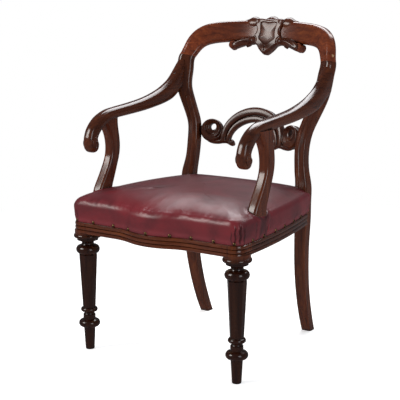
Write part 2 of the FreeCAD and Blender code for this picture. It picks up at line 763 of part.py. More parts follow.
def octagon_stations(radius):
    """An eight-sided outline with flats facing X and Y, radius from its axis to a flat."""
    stations = []
    for turn in range(8):
        angle = math.pi / 8 + turn * math.pi / 4
        x = math.cos(angle) / math.cos(math.pi / 8)
        y = math.sin(angle) / math.cos(math.pi / 8)
        stations.append(("%.6f * %s" % (x, radius), "%.6f * %s" % (y, radius), None))
    return stations


LEG_TURNING = turned_body("leg_turning", leg_stations())
LEG_COLUMN = doc.addObject("PartDesign::Body", "leg_column")
column_low = outline_sketch(LEG_COLUMN, "column_low", "XY_Plane",
                            octagon_stations("Sizes.LegColumnBottomRadius"))
column_low.setExpression("AttachmentOffset.Base.z", "Sizes.LegSmallRingHeight + 7")
column_high = outline_sketch(LEG_COLUMN, "column_high", "XY_Plane",
                             octagon_stations("Sizes.LegColumnTopRadius"))
column_high.setExpression("AttachmentOffset.Base.z", "Sizes.LegColumnTop")
column_loft = LEG_COLUMN.newObject("PartDesign::AdditiveLoft", "column_loft")
column_loft.Profile = column_low
column_loft.Sections = [column_high]
column_loft.Ruled = True
for body in (LEG_TURNING, LEG_COLUMN):
    body.setExpression("Placement.Base.x", "Sizes.FrontLegX")
LEG_HEAD = common("leg_head", FRAME_BLOCK, cuboid(
    "leg_head_room", (HEAD_INNER, "-" + FAR, "Sizes.SeatRailBottom - 5"),
    (FAR, HEAD_BACK, ABOVE_RAILS)))
LEG_BLANK = fused("leg_blank", [LEG_TURNING, LEG_COLUMN, LEG_HEAD])


# Arms and their supports. Each station: y, z, height of the section, and its pitch in degrees.

ARM_EDGE = 13
SUPPORT_EDGE = 9
KNOB_EDGE = 8
KNOB_BULGE = 1


def arm_stations():
    low = size("ArmHeight")
    rise = size("ArmBackHeight") - low
    knob_y = size("ArmKnobY")
    knob_z = size("ArmKnobHeight")
    drop = low - knob_z
    return [
        (knob_y - 1, knob_z + drop * 0.19, 41, 84),
        (knob_y + 9, knob_z + drop * 0.47, 40, 62),
        (knob_y + 32, knob_z + drop * 0.75, 36, 40),
        (knob_y + 66, low - 5.5, 32, 18),
        (knob_y + 103, low, 30, 4),
        (190, low + rise * 0.05, 31.5, 3),
        (250, low + rise * 0.11, 34.5, 4),
        (300, low + rise * 0.195, 39, 6),
        (345, low + rise * 0.305, 46, 6),
        (385, low + rise * 0.46, 56, 4),
        (408, low + rise * 0.615, 65, 2),
        (430, low + rise * 0.82, 75, 0),
        (456, low + rise * 1.03, 90, 0),
    ]


def arm_shape():
    wires = []
    for y, z, tall, pitch in arm_stations():
        angle = math.radians(pitch)
        up = Vector(0, -math.sin(angle), math.cos(angle))
        centre = Vector(size("ArmX"), y, z)
        wires.append(rounded_section(centre, Vector(1, 0, 0), up, size("ArmWidth"), tall,
                                     ARM_EDGE))
    return largest(loft(wires).cut(STILE_BLANK.Shape))


def support_shape(grow=0.0):
    """An arm support before it is fitted to the arm, grown on every side by grow."""
    foot = size("SupportFootY")
    depth = size("SupportFootDepth")
    tall = size("ArmHeight") - RAIL_TOP
    stations = [
        (foot, 0, depth + 3),
        (foot + 3, 0.12, depth),
        (foot + 13, 0.24, depth - 7),
        (foot + 26, 0.335, depth - 13),
        (foot + 38, 0.43, depth - 18),
        (foot + 48, 0.53, depth - 20),
        (foot + 51, 0.63, depth - 19),
        (foot + 48, 0.73, depth - 17),
        (foot + 41, 0.82, depth - 11),
        (foot + 34, 0.90, depth - 1),
        (foot + 30, 0.96, depth + 9),
    ]
    wires = []
    for y, share, deep in stations:
        centre = Vector(size("SupportX"), y, RAIL_TOP - grow + tall * share)
        wires.append(rounded_section(centre, Vector(1, 0, 0), Vector(0, 1, 0),
                                     size("SupportWidth") + 2 * grow, deep + 2 * grow,
                                     SUPPORT_EDGE))
    return loft(wires)


def round_knob_stations():
    """The rolled end of an arm: a drum with softly rounded rims."""
    radius = "Sizes.ArmKnobRadius"
    wide = "(Sizes.ArmWidth + %g)" % (2 * KNOB_BULGE)
    quarter = "%g" % (KNOB_EDGE * (1 - math.sqrt(0.5)))
    inner = "%s - %g" % (radius, KNOB_EDGE)
    return [
        ("0", "0", None),
        (inner, "0", quarter),
        (radius, "%g" % KNOB_EDGE, None),
        (radius, "%s - %g" % (wide, KNOB_EDGE), quarter),
        (inner, wide, None),
        ("0", wide, None),
    ]


ARM_KNOB = turned_body("arm_knob", round_knob_stations())
ARM_KNOB.Placement.Rotation = FreeCAD.Rotation(Vector(0, 0, 1), Vector(1, 0, 0))
for axis, formula in (("x", "Sizes.ArmX - Sizes.ArmWidth / 2 - %g" % KNOB_BULGE),
                      ("y", "Sizes.ArmKnobY"), ("z", "Sizes.ArmKnobHeight")):
    ARM_KNOB.setExpression("Placement.Base." + axis, formula)
ARM_BLANK = fused("arm_blank", [shaped("arm_sweep", arm_shape()), ARM_KNOB])
doc.recompute()
SUPPORT_BLANK = shaped("support_blank", min(
    support_shape().cut(ARM_BLANK.Shape).Solids, key=lambda solid: solid.BoundBox.ZMin))


# Dowels and plugs

HALF_RAIL = size("RailThickness") / 2
FRONT_RAIL_MIDDLE_Y = size("FrontRailY") + HALF_RAIL
BACK_RAIL_MIDDLE_Y = size("BackRailY") - HALF_RAIL


def dowel(name, middle, direction, length="Sizes.DowelLength"):
    """A dowel centred on a joint face."""
    axis = Vector(direction).normalize()
    start = middle - axis * (value_of(sheet, length) / 2)
    return cylinder(name, start, axis, "Sizes.DowelRadius", length)


def side_face_x(y, out=0.0):
    """The outer face of the left side rail at y, moved outwards by out."""
    side = seat_half_plan(RAIL_TOP, out)[4]
    cutter = Part.makeLine(Vector(0, y, RAIL_TOP), Vector(500, y, RAIL_TOP))
    return side.distToShape(cutter)[1][0][0].x


def seat_rail_dowels():
    """Two dowels in each joint of the seat frame on the left side of the chair."""
    dowels = []
    for share in (0.16, 0.84):
        z = RAIL_BOTTOM + size("RailHeight") * share
        for y in (HEAD_BACK_Y, STILE_FRONT_Y):
            middle = Vector(side_face_x(y) - HALF_RAIL, y, z)
            dowels.append(dowel("side_rail_dowel", middle, Vector(0, 1, 0)))
    for share in (0.40, 0.60):
        z = RAIL_BOTTOM + size("RailHeight") * share
        for x, y in ((HEAD_INNER_X, FRONT_RAIL_MIDDLE_Y), (STILE_INNER_X, BACK_RAIL_MIDDLE_Y)):
            dowels.append(dowel("cross_dowel", Vector(x, y, z), Vector(1, 0, 0)))
    return dowels


def crest_dowels():
    joint = back_point(size("ShoulderX"), size("ShoulderHeight"))
    across = size("ShoulderWidth") / 4
    found = []
    for step in (-1, 1):
        y = joint.y - step * across * size("ShoulderX") / size("BackPlanRadius")
        place = Vector(size("ShoulderX") + step * across, y, joint.z)
        found.append(dowel("crest_dowel", place, SHOULDER_TANGENT))
    return found


SUPPORT_DOWEL_INSET = 3
HEAD_DOWEL_LENGTH = 30
HEAD_DOWEL_BACK = 34
HEAD_DOWEL_DROP = 19


def support_dowels():
    """Two dowels under the foot of an arm support and one between its head and the arm."""
    found = []
    for step in (-1, 1):
        place = Vector(size("SupportX") + SUPPORT_DOWEL_INSET,
                       size("SupportFootY") + step * size("SupportFootDepth") / 4, RAIL_TOP)
        found.append(dowel("foot_dowel", place, Vector(0, 0, 1)))
    top = Vector(size("SupportX"), size("SupportFootY") + HEAD_DOWEL_BACK,
                 size("ArmHeight") - HEAD_DOWEL_DROP)
    found.append(dowel("head_dowel", top, Vector(0, 0, 1), "%g" % HEAD_DOWEL_LENGTH))
    return found


RAIL_DOWELS = seat_rail_dowels()
CREST_DOWELS = crest_dowels()
SUPPORT_DOWELS = support_dowels()
ARM_SCREW_X = size("ArmX") - 5
ARM_SCREW_START = back_point(ARM_SCREW_X, size("ArmBackHeight")) + Vector(
    0, size("BackThickness") / 2 - size("PlugDepth"), 0)
PLUG = cylinder("plug", ARM_SCREW_START, Vector(0, 1, 0), "Sizes.PlugRadius", "3 * Sizes.PlugDepth")


# Screws, tacks and nails: one turned body of each kind and length, and its copies

TACK_HEAD = "0.8"
NAIL_SHANK = "0.9"
SCREW_POINT = "5"


def screw_body(name, length):
    """A countersunk wood screw of that length whose head is flush at its start."""
    sink = "Sizes.ScrewHeadRadius - Sizes.ScrewRadius"
    return turned_body(name, [
        ("0", "0", None),
        ("Sizes.ScrewHeadRadius", "0", None),
        ("Sizes.ScrewRadius", sink, None),
        ("Sizes.ScrewRadius", "%s - %s" % (length, SCREW_POINT), None),
        ("0", length, None),
    ])


TACK = turned_body("tack", [
    ("0", "-" + TACK_HEAD, None),
    ("Sizes.TackHeadRadius", "-" + TACK_HEAD, None),
    ("Sizes.TackHeadRadius", "0", None),
    ("1", "0", None),
    ("0.6", "Sizes.TackLength", None),
    ("0", "Sizes.TackLength", None),
])
NAIL = turned_body("nail", [
    ("0", "-0.55 * Sizes.NailHeadRadius", "0.22 * Sizes.NailHeadRadius"),
    ("Sizes.NailHeadRadius", "0", None),
    (NAIL_SHANK, "0", None),
    (NAIL_SHANK, "Sizes.NailLength", None),
    ("0", "Sizes.NailLength", None),
])
ARM_SCREW = screw_body("arm_screw_turning", "Sizes.ArmScrewLength")
ARM_SCREW.Placement = FreeCAD.Placement(
    ARM_SCREW_START, FreeCAD.Rotation(Vector(0, 0, 1), Vector(0, -1, 0)))


# Corner blocks, glued and screwed into the corners of the seat frame

BLOCK_RISE = 8
BLOCK_GAP = 0.2
SCREW_SINK = 4
BLOCK_ROOM = shaped("block_room", plan_prism(RAIL_BOTTOM - 1, RAIL_TOP, RAIL_INSIDE - BLOCK_GAP))
BLOCK_END = "0.7 * Sizes.BlockLeg"


def block_corners(place):
    """Plan formulas of a left block: its diagonal runs from the last corner to the first."""
    reach = value_of(sheet, BLOCK_END)
    if place == "front":
        inner = "Sizes.FrontRailY + Sizes.RailThickness + %g" % BLOCK_GAP
        notch_x = "%s - %g" % (HEAD_INNER, BLOCK_GAP)
        notch_y = "%s + %g" % (HEAD_BACK, BLOCK_GAP)
        return [
            ("%s - %s" % (notch_x, BLOCK_END), inner),
            (notch_x, inner),
            (notch_x, notch_y),
            ("Sizes.FrontHalfWidth", notch_y),
            ("Sizes.FrontHalfWidth", "%s + %s" % (HEAD_BACK, BLOCK_END)),
            ("%.4f" % side_face_x(HEAD_BACK_Y + reach, RAIL_INSIDE),
             "%s + %s" % (HEAD_BACK, BLOCK_END)),
        ]
    inner = "Sizes.BackRailY - Sizes.RailThickness - %g" % BLOCK_GAP
    notch_x = "Sizes.StileSeatX - Sizes.StileSeatSize / 2 - %g" % BLOCK_GAP
    notch_y = "%.4f" % (STILE_FRONT_Y - 1 - BLOCK_GAP)
    return [
        ("%s - %s" % (notch_x, BLOCK_END), inner),
        (notch_x, inner),
        (notch_x, notch_y),
        ("Sizes.FrontHalfWidth", notch_y),
        ("Sizes.FrontHalfWidth", "%.4f - %s" % (STILE_FRONT_Y, BLOCK_END)),
        ("%.4f" % side_face_x(STILE_FRONT_Y - reach, RAIL_INSIDE),
         "%.4f - %s" % (STILE_FRONT_Y, BLOCK_END)),
    ]


def corner_block(place):
    """A left block in the rough, and its two screws into the rails."""
    corners = block_corners(place)
    body = sawn_body("block_%s" % place, "XY_Plane", [(x, y, None) for x, y in corners],
                     "Sizes.BlockHeight")
    body.setExpression("Placement.Base.z", "Sizes.SeatRailBottom + %g" % BLOCK_RISE)
    block = common("block_%s_blank" % place, body, BLOCK_ROOM)
    near, far = [(value_of(sheet, x), value_of(sheet, y)) for x, y in (corners[0], corners[-1])]
    z = RAIL_BOTTOM + BLOCK_RISE + size("BlockHeight") / 2
    towards_rail = Vector(0, -1, 0) if place == "front" else Vector(0, 1, 0)
    screws = []
    for share, direction in ((0.22, towards_rail), (0.78, Vector(1, 0, 0))):
        x = near[0] + (far[0] - near[0]) * share
        y = near[1] + (far[1] - near[1]) * share
        rail = abs(y - near[1]) if direction.x == 0 else far[0] - x
        name = "block_screw_%s_%d" % (place, len(screws))
        turned = screw_body(name, "%.3f + Sizes.ScrewBite" % (rail - SCREW_SINK))
        turned.Placement = FreeCAD.Placement(
            Vector(x, y, z) + direction * SCREW_SINK,
            FreeCAD.Rotation(Vector(0, 0, 1), direction))
        screws.append(turned)
    return block, screws


BLOCKS = {place: corner_block(place) for place in ("front", "back")}
BLOCK_SCREWS = BLOCKS["front"][1] + BLOCKS["back"][1]


# Webbing and its tacks, hessian, stuffing and leather

WEB = size("WebThickness")
WEB_INSET = 7
HESSIAN_INSET = 3
SOFT_GAP = 0.3
ROOM_GAP = 0.5
CROWN_INSET = 150
LEATHER = size("LeatherThickness")
HESSIAN_TOP = RAIL_TOP + 2 * WEB + size("HessianThickness")
ACROSS_PLACES = [step * size("WebPitchAcross") for step in (-1, 0, 1)]
ALONG_PLACES = [size("WebFirstY") + step * size("WebPitchAlong") for step in range(3)]
SUPPORT_ROOM = shaped("support_room", support_shape(ROOM_GAP))
STILE_ROOM = cuboid("stile_room", (
    "Sizes.StileSeatX - Sizes.StileSeatSize / 2 - %g" % ROOM_GAP,
    "%.4f" % (STILE_FRONT_Y - 1 - ROOM_GAP),
    "Sizes.SeatRailBottom - 20",
), (FAR, "700", "Sizes.SeatCrown + 100"))
LEFT_ROOMS = group("left_rooms", [SUPPORT_ROOM, STILE_ROOM])
RIGHT_ROOMS = mirror_of("right_rooms", LEFT_ROOMS)
SOFT_ROOMS = group("soft_rooms", [LEFT_ROOMS, RIGHT_ROOMS])


def front_to_back_strips():
    strips = []
    for step in (-1, 0, 1):
        middle = "%d * Sizes.WebPitchAcross" % step
        strips.append(cuboid("front_to_back_strip", (
            middle + " - Sizes.WebWidth / 2", "-200", RAIL_TOP_CELLS,
        ), (middle + " + Sizes.WebWidth / 2", "600", RAIL_TOP_CELLS + " + Sizes.WebThickness")))
    return group("front_to_back_strips", strips)


def side_to_side_strips():
    """Strips that lie over the others and come down to the rails at their ends."""
    edge = "(Sizes.WebPitchAcross + Sizes.WebWidth / 2 + 3)"
    low = [
        ("-400", "0"),
        ("-%s - 14" % edge, "0"),
        ("-" + edge, "Sizes.WebThickness"),
        (edge, "Sizes.WebThickness"),
        (edge + " + 14", "0"),
        ("400", "0"),
    ]
    high = [(x, z + " + Sizes.WebThickness") for x, z in reversed(low)]
    strip = sawn_body("side_to_side_strip", "XZ_Plane",
                      [(x, z, None) for x, z in low + high], "Sizes.WebWidth", True)
    return group("side_to_side_strips", [
        linked("side_strip", strip, Vector(0, y, RAIL_TOP)) for y in ALONG_PLACES])


def tack_places():
    """Three tacks at each end of each strip: those on the middle line, and those left of it."""
    third = size("WebWidth") / 3
    top = RAIL_TOP + WEB
    front = seat_half_plan(RAIL_TOP, 0)[:3]
    outline = Part.Wire(Part.__sortEdges__(front + [mirrored(edge, -1) for edge in front]))
    middle = []
    left = []
    for x in ACROSS_PLACES:
        for step in (-1, 0, 1):
            at_x = x + step * third
            if at_x < -1e-6:
                continue
            reach = Part.makeLine(Vector(at_x, -300, RAIL_TOP), Vector(at_x, 100, RAIL_TOP))
            face_y = outline.distToShape(reach)[1][0][0].y
            where = left if at_x > 1e-6 else middle
            where.append(Vector(at_x, face_y + HALF_RAIL + 2, top))
            where.append(Vector(at_x, BACK_RAIL_MIDDLE_Y - 2, top))
    for y in ALONG_PLACES:
        for step in (-1, 0, 1):
            at_y = y + step * third
            left.append(Vector(side_face_x(at_y) - HALF_RAIL - 2, at_y, top))
    return middle, left


def cushion_sections(out, z_extra, first_z):
    """The outline of the padding from its foot over the rounded edge to its crown."""
    edge_z = size("SeatEdgeHeight")
    radius = size("SeatEdgeRadius")
    swell = size("SeatSwell")
    wires = [
        seat_plan(first_z, out),
        seat_plan((first_z + edge_z) / 2, out + swell * 0.7),
        seat_plan(edge_z, out + swell),
    ]
    for step in range(1, 5):
        angle = math.radians(17 * step)
        inset = radius * (1 - math.cos(angle))
        z = edge_z + radius * math.sin(angle)
        calm = 0.05 * step
        wires.append(seat_plan(z + z_extra, out + swell - inset, calm))
    start_inset = radius * (1 - math.cos(math.radians(68)))
    start_z = edge_z + radius * math.sin(math.radians(68))
    for share in (0.16, 0.36, 0.60, 1.0):
        inset = start_inset + (CROWN_INSET - start_inset) * share
        z = start_z + (size("SeatCrown") - LEATHER - start_z) * (1 - (1 - share) ** 2)
        wires.append(seat_plan(z + z_extra, out + swell - inset, 0.2 + 0.7 * share))
    return wires


def cover_faces(out, z_extra):
    """The open surface of the cover from its foot to its crown, and its foot outline."""
    foot = seat_plan(MOULDING_TOP + SOFT_GAP, out)
    wires = [foot] + cushion_sections(out, z_extra, RAIL_TOP + SOFT_GAP)
    sides = Part.makeLoft(wires, False, True)
    return sides.Faces + [Part.Face(wires[-1])], foot


def leather_shape():
    """The leather cover, from the moulding over the rails and the stuffing."""
    outer_faces, outer_foot = cover_faces(SOFT_GAP + LEATHER, SOFT_GAP + LEATHER)
    inner_faces, inner_foot = cover_faces(SOFT_GAP, SOFT_GAP)
    rim = Part.Face(outer_foot).cut(Part.Face(inner_foot))
    skin = Part.makeCompound(outer_faces + inner_faces + rim.Faces)
    skin.sewShape()
    cover = Part.Solid(skin.Shells[0])
    if cover.Volume < 0:
        cover.reverse()
    return cover


def nail_places():
    """The brass nails: those on the middle line, and those along the left half."""
    out = SOFT_GAP + LEATHER
    z = size("NailHeight")
    pitch = size("NailSpacing")
    outline = Part.Wire(seat_half_plan(z, out)[:6])
    count = int(outline.Length / pitch)
    points = outline.discretize(Number=8 * count + 1)
    left = []
    travelled = 0.0
    following = pitch
    for before, after in zip(points, points[1:]):
        travelled += (after - before).Length
        if travelled >= following and after.y < STILE_FRONT_Y - size("NailHeadRadius"):
            direction = after - before
            left.append((after, Vector(-direction.y, direction.x, 0).normalize()))
            following += pitch
    for step in (0.5, 1.5, 2.5):
        if step * pitch < STILE_INNER_X - 10:
            left.append((Vector(step * pitch, size("BackRailY") + out, z), Vector(0, -1, 0)))
    front = Vector(0, size("FrontRailY") - size("FrontBelly") - out, z)
    return [(front, Vector(0, 1, 0))], left


middle_tacks, left_tacks = [
    [linked("tack_copy", TACK, place, Vector(0, 0, -1)) for place in places]
    for places in tack_places()]
middle_nails, left_nails = [
    [linked("nail_copy", NAIL, place, inward) for place, inward in places]
    for places in nail_places()]
strip_room = shaped("strip_room", plan_prism(RAIL_TOP, RAIL_TOP + 2 * WEB, -WEB_INSET))
front_webbing = common("front_webbing", front_to_back_strips(), strip_room)
side_webbing = common("side_webbing", side_to_side_strips(), strip_room)
hessian_sheet = shaped("hessian_sheet", plan_prism(
    RAIL_TOP + 2 * WEB, HESSIAN_TOP, -WEB_INSET - HESSIAN_INSET))
hair = cut("hair", shaped("hair_form", loft(cushion_sections(0, 0, RAIL_TOP + SOFT_GAP), True)),
           shaped("hessian_room", plan_prism(RAIL_TOP - 1, HESSIAN_TOP + SOFT_GAP, 1 - WEB_INSET)))


def holed_leather():
    """The leather round the supports and the stiles, with the holes of its nails."""
    doc.recompute()
    rooms = [SUPPORT_ROOM.Shape, STILE_ROOM.Shape]
    shanks = [Part.getShape(nail) for nail in left_nails]
    shanks += [mirrored(shank, -1) for shank in shanks]
    shanks += [Part.getShape(nail) for nail in middle_nails]
    rooms += [mirrored(room, -1) for room in rooms]
    return largest(leather_shape().cut(rooms)).cut(shanks)


# Put the pieces together: what fits into a piece is cut out of it

sub_parts = []


def finished(name, thing):
    """The finished piece under its own label."""
    thing.Label = name
    sub_parts.append(thing)
    return thing


def both_sides(name, middle, left):
    """One piece of the fittings on the middle line, on the left and mirrored on the right."""
    half = group(name + "_half", left)
    return finished(name, group(name, middle + [half, mirror_of(name + "_mirror", half)]))


def bored(name, blank, left, middle=(), across=False):
    """A blank with the holes of the fittings near it, also those of the right side if across."""
    doc.recompute()
    room = blank.Shape.BoundBox
    near = [one for one in left if Part.getShape(one).BoundBox.intersect(room)]
    central = [one for one in middle if Part.getShape(one).BoundBox.intersect(room)]
    tools = near + central
    if across:
        half = group(name + "_half_holes", near)
        tools = central + [half, mirror_of(name + "_mirror_holes", half)]
    return finished(name, cut(name, blank, group(name + "_holes", tools)))


def pair(left):
    """The right piece of a pair, named after the left one."""
    name = left.Label.replace("_left", "_right")
    return finished(name, mirror_of(name, left))


rail_fittings = RAIL_DOWELS + SUPPORT_DOWELS + BLOCK_SCREWS + left_tacks + left_nails
middle_fittings = middle_tacks + middle_nails
leg_with_mortise = cut("leg_with_mortise", STILE_BLANK, CROSS_BLANK)
left_pieces = [
    bored("back_leg_left", cut("leg_without_plug", leg_with_mortise, PLUG),
          RAIL_DOWELS + CREST_DOWELS + [ARM_SCREW]),
    finished("arm_screw_plug_left", common("arm_screw_plug_left", STILE_BLANK, PLUG)),
    bored("front_leg_left", LEG_BLANK, rail_fittings),
    bored("side_seat_rail_left", SIDE_RAIL_BLANK, rail_fittings),
    bored("arm_left", ARM_BLANK, SUPPORT_DOWELS + [ARM_SCREW]),
    bored("arm_support_left", SUPPORT_BLANK, SUPPORT_DOWELS),
    bored("corner_block_front_left", BLOCKS["front"][0], BLOCK_SCREWS),
    bored("corner_block_back_left", BLOCKS["back"][0], BLOCK_SCREWS),
]
for piece in left_pieces:
    pair(piece)

bored("crest_rail", CREST_BLANK, CREST_DOWELS, across=True)
finished("crest_carving", cut("crest_carving", CARVING_BLANK, HOOP_BLANK))
finished("cross_rail", CROSS_RAIL)
bored("front_seat_rail", FRONT_RAIL_BLANK, rail_fittings, middle_fittings, True)
bored("back_seat_rail", BACK_RAIL_BLANK, rail_fittings, middle_fittings, True)
both_sides("seat_rail_dowels", [], RAIL_DOWELS)
both_sides("crest_rail_dowels", [], CREST_DOWELS)
both_sides("arm_support_dowels", [], SUPPORT_DOWELS)
both_sides("arm_screws", [], [ARM_SCREW])
both_sides("corner_block_screws", [], BLOCK_SCREWS)
tacks = both_sides("webbing_tacks", middle_tacks, left_tacks)
nails = both_sides("brass_nails", middle_nails, left_nails)
bored("webbing_front_to_back", front_webbing, left_tacks, middle_tacks, True)
bored("webbing_side_to_side", side_webbing, left_tacks, middle_tacks, True)
finished("hessian", cut("hessian", hessian_sheet, SOFT_ROOMS))
finished("seat_stuffing", cut("seat_stuffing", hair, SOFT_ROOMS))
finished("seat_leather", shaped("seat_leather", holed_leather()))
doc.recompute()

# The origin lies on the floor under the middle of the whole chair
front_reach = min(part.Shape.optimalBoundingBox(False).YMin for part in sub_parts)
back_reach = max(part.Shape.optimalBoundingBox(False).YMax for part in sub_parts)
middle_y = (front_reach + back_reach) / 2
for part in sub_parts:
    if part.TypeId != "Part::Mirroring":
        part.Placement = FreeCAD.Placement(Vector(0, -middle_y, 0), FreeCAD.Rotation())
doc.recompute()

for part in doc.Objects:
    if "Invalid" in part.State or "Error" in part.State:
        raise RuntimeError("%s failed: %s" % (part.Label, part.State))
for part in sub_parts:
    if part.Shape.isNull() or not part.Shape.isValid():
        raise RuntimeError("%s has no valid shape" % part.Label)

os.makedirs("parts", exist_ok=True)
for part in sub_parts:
    part.Shape.exportStep("parts/%s.step" % part.Label)
print("%d sub-parts, chair middle %.3f mm behind the front leg axes" % (len(sub_parts), middle_y))
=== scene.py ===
"""Dresses the balloon back armchair: leather, carving, polish, stage and camera."""

import math
from types import SimpleNamespace

import bmesh
import bpy
import numpy as np
from bpy.props import FloatProperty, FloatVectorProperty, IntProperty, PointerProperty
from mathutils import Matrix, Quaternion, Vector


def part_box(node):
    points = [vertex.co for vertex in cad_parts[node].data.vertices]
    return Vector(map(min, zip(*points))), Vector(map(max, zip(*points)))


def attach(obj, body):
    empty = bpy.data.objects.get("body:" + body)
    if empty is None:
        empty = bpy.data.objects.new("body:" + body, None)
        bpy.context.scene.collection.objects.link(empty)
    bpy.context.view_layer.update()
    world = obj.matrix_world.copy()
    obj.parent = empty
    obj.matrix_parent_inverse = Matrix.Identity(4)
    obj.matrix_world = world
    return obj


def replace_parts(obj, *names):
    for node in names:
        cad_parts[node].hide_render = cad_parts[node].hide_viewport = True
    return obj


bl_info = {
    "name": "Balloon Back Armchair",
    "version": (1, 0, 0),
    "blender": (4, 5, 0),
    "location": "View3D > Sidebar > Armchair",
    "description": "Dresses a balloon back armchair with leather, carving and polish",
    "category": "Object",
}

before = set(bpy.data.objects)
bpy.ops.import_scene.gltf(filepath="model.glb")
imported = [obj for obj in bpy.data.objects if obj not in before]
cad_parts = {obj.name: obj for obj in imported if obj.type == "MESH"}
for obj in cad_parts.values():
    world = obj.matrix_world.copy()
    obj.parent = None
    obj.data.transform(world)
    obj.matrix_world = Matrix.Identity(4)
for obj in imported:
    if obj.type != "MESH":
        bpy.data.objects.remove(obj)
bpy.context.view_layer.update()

# Places in the CAD frame, in metres: x to the chair's left, y backwards, z up from the floor.
# The y of the front leg axes is read from the front rail, and most y values count from it.

RAIL_REACH = 0.062
AXIS_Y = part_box("front_seat_rail")[0][1] + RAIL_REACH
RAIL_TOP = 0.399
MOULDING_TOP = 0.368
SIDES = (("left", 1.0), ("right", -1.0))


# Curves and profiles

def full_turn(count):
    """Angles evenly spaced round a full turn, the last one short of the first."""
    return np.linspace(0, 2 * math.pi, count, endpoint=False)


def unit(vectors):
    """Each vector divided by its length."""
    return vectors / np.maximum(np.linalg.norm(vectors, axis=-1, keepdims=True), 1e-12)


def smooth(edge0, edge1, x):
    """A step from 0 to 1 between two edges, level at both: three squares less two cubes."""
    t = np.clip((x - edge0) / (edge1 - edge0), 0, 1)
    return t * t * (3 - 2 * t)


def bump(x, middle, width):
    """A bell of height 1: e to the minus square of the distance over the width."""
    return np.exp(-((x - middle) / width) ** 2)


def half_round(x, middle, half):
    """Height of half a circle, squeezed to lie between middle - half and middle + half."""
    return np.sqrt(np.clip(1 - ((x - middle) / half) ** 2, 0, 1))


def quarter_round(share):
    """Height of a quarter circle that rises from 0 at share 0 to 1 at share 1."""
    return np.sqrt(np.clip(1 - (1 - np.clip(share, 0, 1)) ** 2, 0, 1))


def round_ends(radii, share):
    """Radii drawn in to nearly nothing at both ends, over a share of the length."""
    t = np.linspace(0, 1, len(radii))
    return radii * np.maximum(quarter_round(np.minimum(t, 1 - t) / share), 0.02)


def spline(points, count):
    """A smooth curve through all the points but the first and the last, evenly spaced by index.

    Each span is a cubic whose slope at a point is half the step between that point's neighbours.
    """
    spans = len(points) - 3
    t = np.linspace(0, spans - 1e-9, count)
    i = t.astype(int)
    f = (t - i)[:, None]
    p0, p1, p2, p3 = points[i], points[i + 1], points[i + 2], points[i + 3]
    return 0.5 * (2 * p1 + (p2 - p0) * f + (2 * p0 - 5 * p1 + 4 * p2 - p3) * f ** 2
                  + (3 * p1 - p0 - 3 * p2 + p3) * f ** 3)


def curve_through(points, count):
    """A smooth open curve through the points."""
    p = np.asarray(points, dtype=float)
    return spline(np.vstack([2 * p[0] - p[1], p, 2 * p[-1] - p[-2]]), count)


def arc_points(start, middle, end, count):
    """Points on the circle through three points, from start to end, or on a line if they are."""
    (ax, ay), (bx, by), (cx, cy) = start, middle, end
    d = 2 * (ax * (by - cy) + bx * (cy - ay) + cx * (ay - by))
    if abs(d) < 1e-12:
        t = np.linspace(0, 1, count)[:, None]
        return np.array(start) * (1 - t) + np.array(end) * t
    a2, b2, c2 = ax * ax + ay * ay, bx * bx + by * by, cx * cx + cy * cy
    ux = (a2 * (by - cy) + b2 * (cy - ay) + c2 * (ay - by)) / d
    uy = (a2 * (cx - bx) + b2 * (ax - cx) + c2 * (bx - ax)) / d
    radius = math.hypot(ax - ux, ay - uy)
    first, via, last = (math.atan2(y - uy, x - ux) for x, y in (start, middle, end))
    turn = (last - first) % (2 * math.pi)
    if (via - first) % (2 * math.pi) > turn:
        turn -= 2 * math.pi
    angle = first + turn * np.linspace(0, 1, count)
    return np.stack([ux + radius * np.cos(angle), uy + radius * np.sin(angle)], axis=-1)


# Mesh building

def grid_corners(rows, columns, close_rows, close_columns):
    """Row and column of the first corner of each quad of a grid."""
    row = np.arange(rows if close_rows else rows - 1)
    column = np.arange(columns if close_columns else columns - 1)
    return np.meshgrid(row, column, indexing="ij")


def grid_faces(rows, columns, close_rows, close_columns):
    """Quads of a grid of points, wrapped round where it closes."""
    a, b = grid_corners(rows, columns, close_rows, close_columns)
    next_a, next_b = (a + 1) % rows, (b + 1) % columns
    faces = [a * columns + b, next_a * columns + b, next_a * columns + next_b, a * columns + next_b]
    return np.stack(faces, axis=-1).reshape(-1, 4)


def grid_uvs(rows, columns, close_rows, close_columns):
    """One UV for each corner of each quad, without a seam that runs backwards."""
    a, b = grid_corners(rows, columns, close_rows, close_columns)
    corners = [(a, b), (a + 1, b), (a + 1, b + 1), (a, b + 1)]
    uv = np.stack([np.stack([u / rows, v / columns], axis=-1) for u, v in corners], axis=2)
    return uv.reshape(-1, 2)


def add_mesh(name, patches, material):
    """One object from grids of points.

    Each patch is (points, closes along rows, closes along columns).
    """
    points, faces, uvs = [], [], []
    start = 0
    for patch, close_rows, close_columns in patches:
        rows, columns = patch.shape[:2]
        points.append(patch.reshape(-1, 3))
        faces.append(grid_faces(rows, columns, close_rows, close_columns) + start)
        uvs.append(grid_uvs(rows, columns, close_rows, close_columns))
        start += rows * columns
    mesh = bpy.data.meshes.new(name)
    mesh.from_pydata(np.concatenate(points).tolist(), [], np.concatenate(faces).tolist())
    layer = mesh.uv_layers.new(name="UVMap")
    layer.data.foreach_set("uv", np.concatenate(uvs).astype(np.float32).ravel())
    mesh.validate()
    mesh.polygons.foreach_set("use_smooth", np.ones(len(mesh.polygons), dtype=bool))
    mesh.update()
    piece = bpy.data.objects.new(name, mesh)
    bpy.context.scene.collection.objects.link(piece)
    mesh.materials.append(material)
    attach(piece, "root")
    return piece


def fix_normals(piece):
    """Turn all faces outwards."""
    work = bmesh.new()
    work.from_mesh(piece.data)
    bmesh.ops.recalc_face_normals(work, faces=work.faces)
    work.to_mesh(piece.data)
    work.free()


# The barrel-shaped surface of the back: hollow in plan, upright below and leaning above

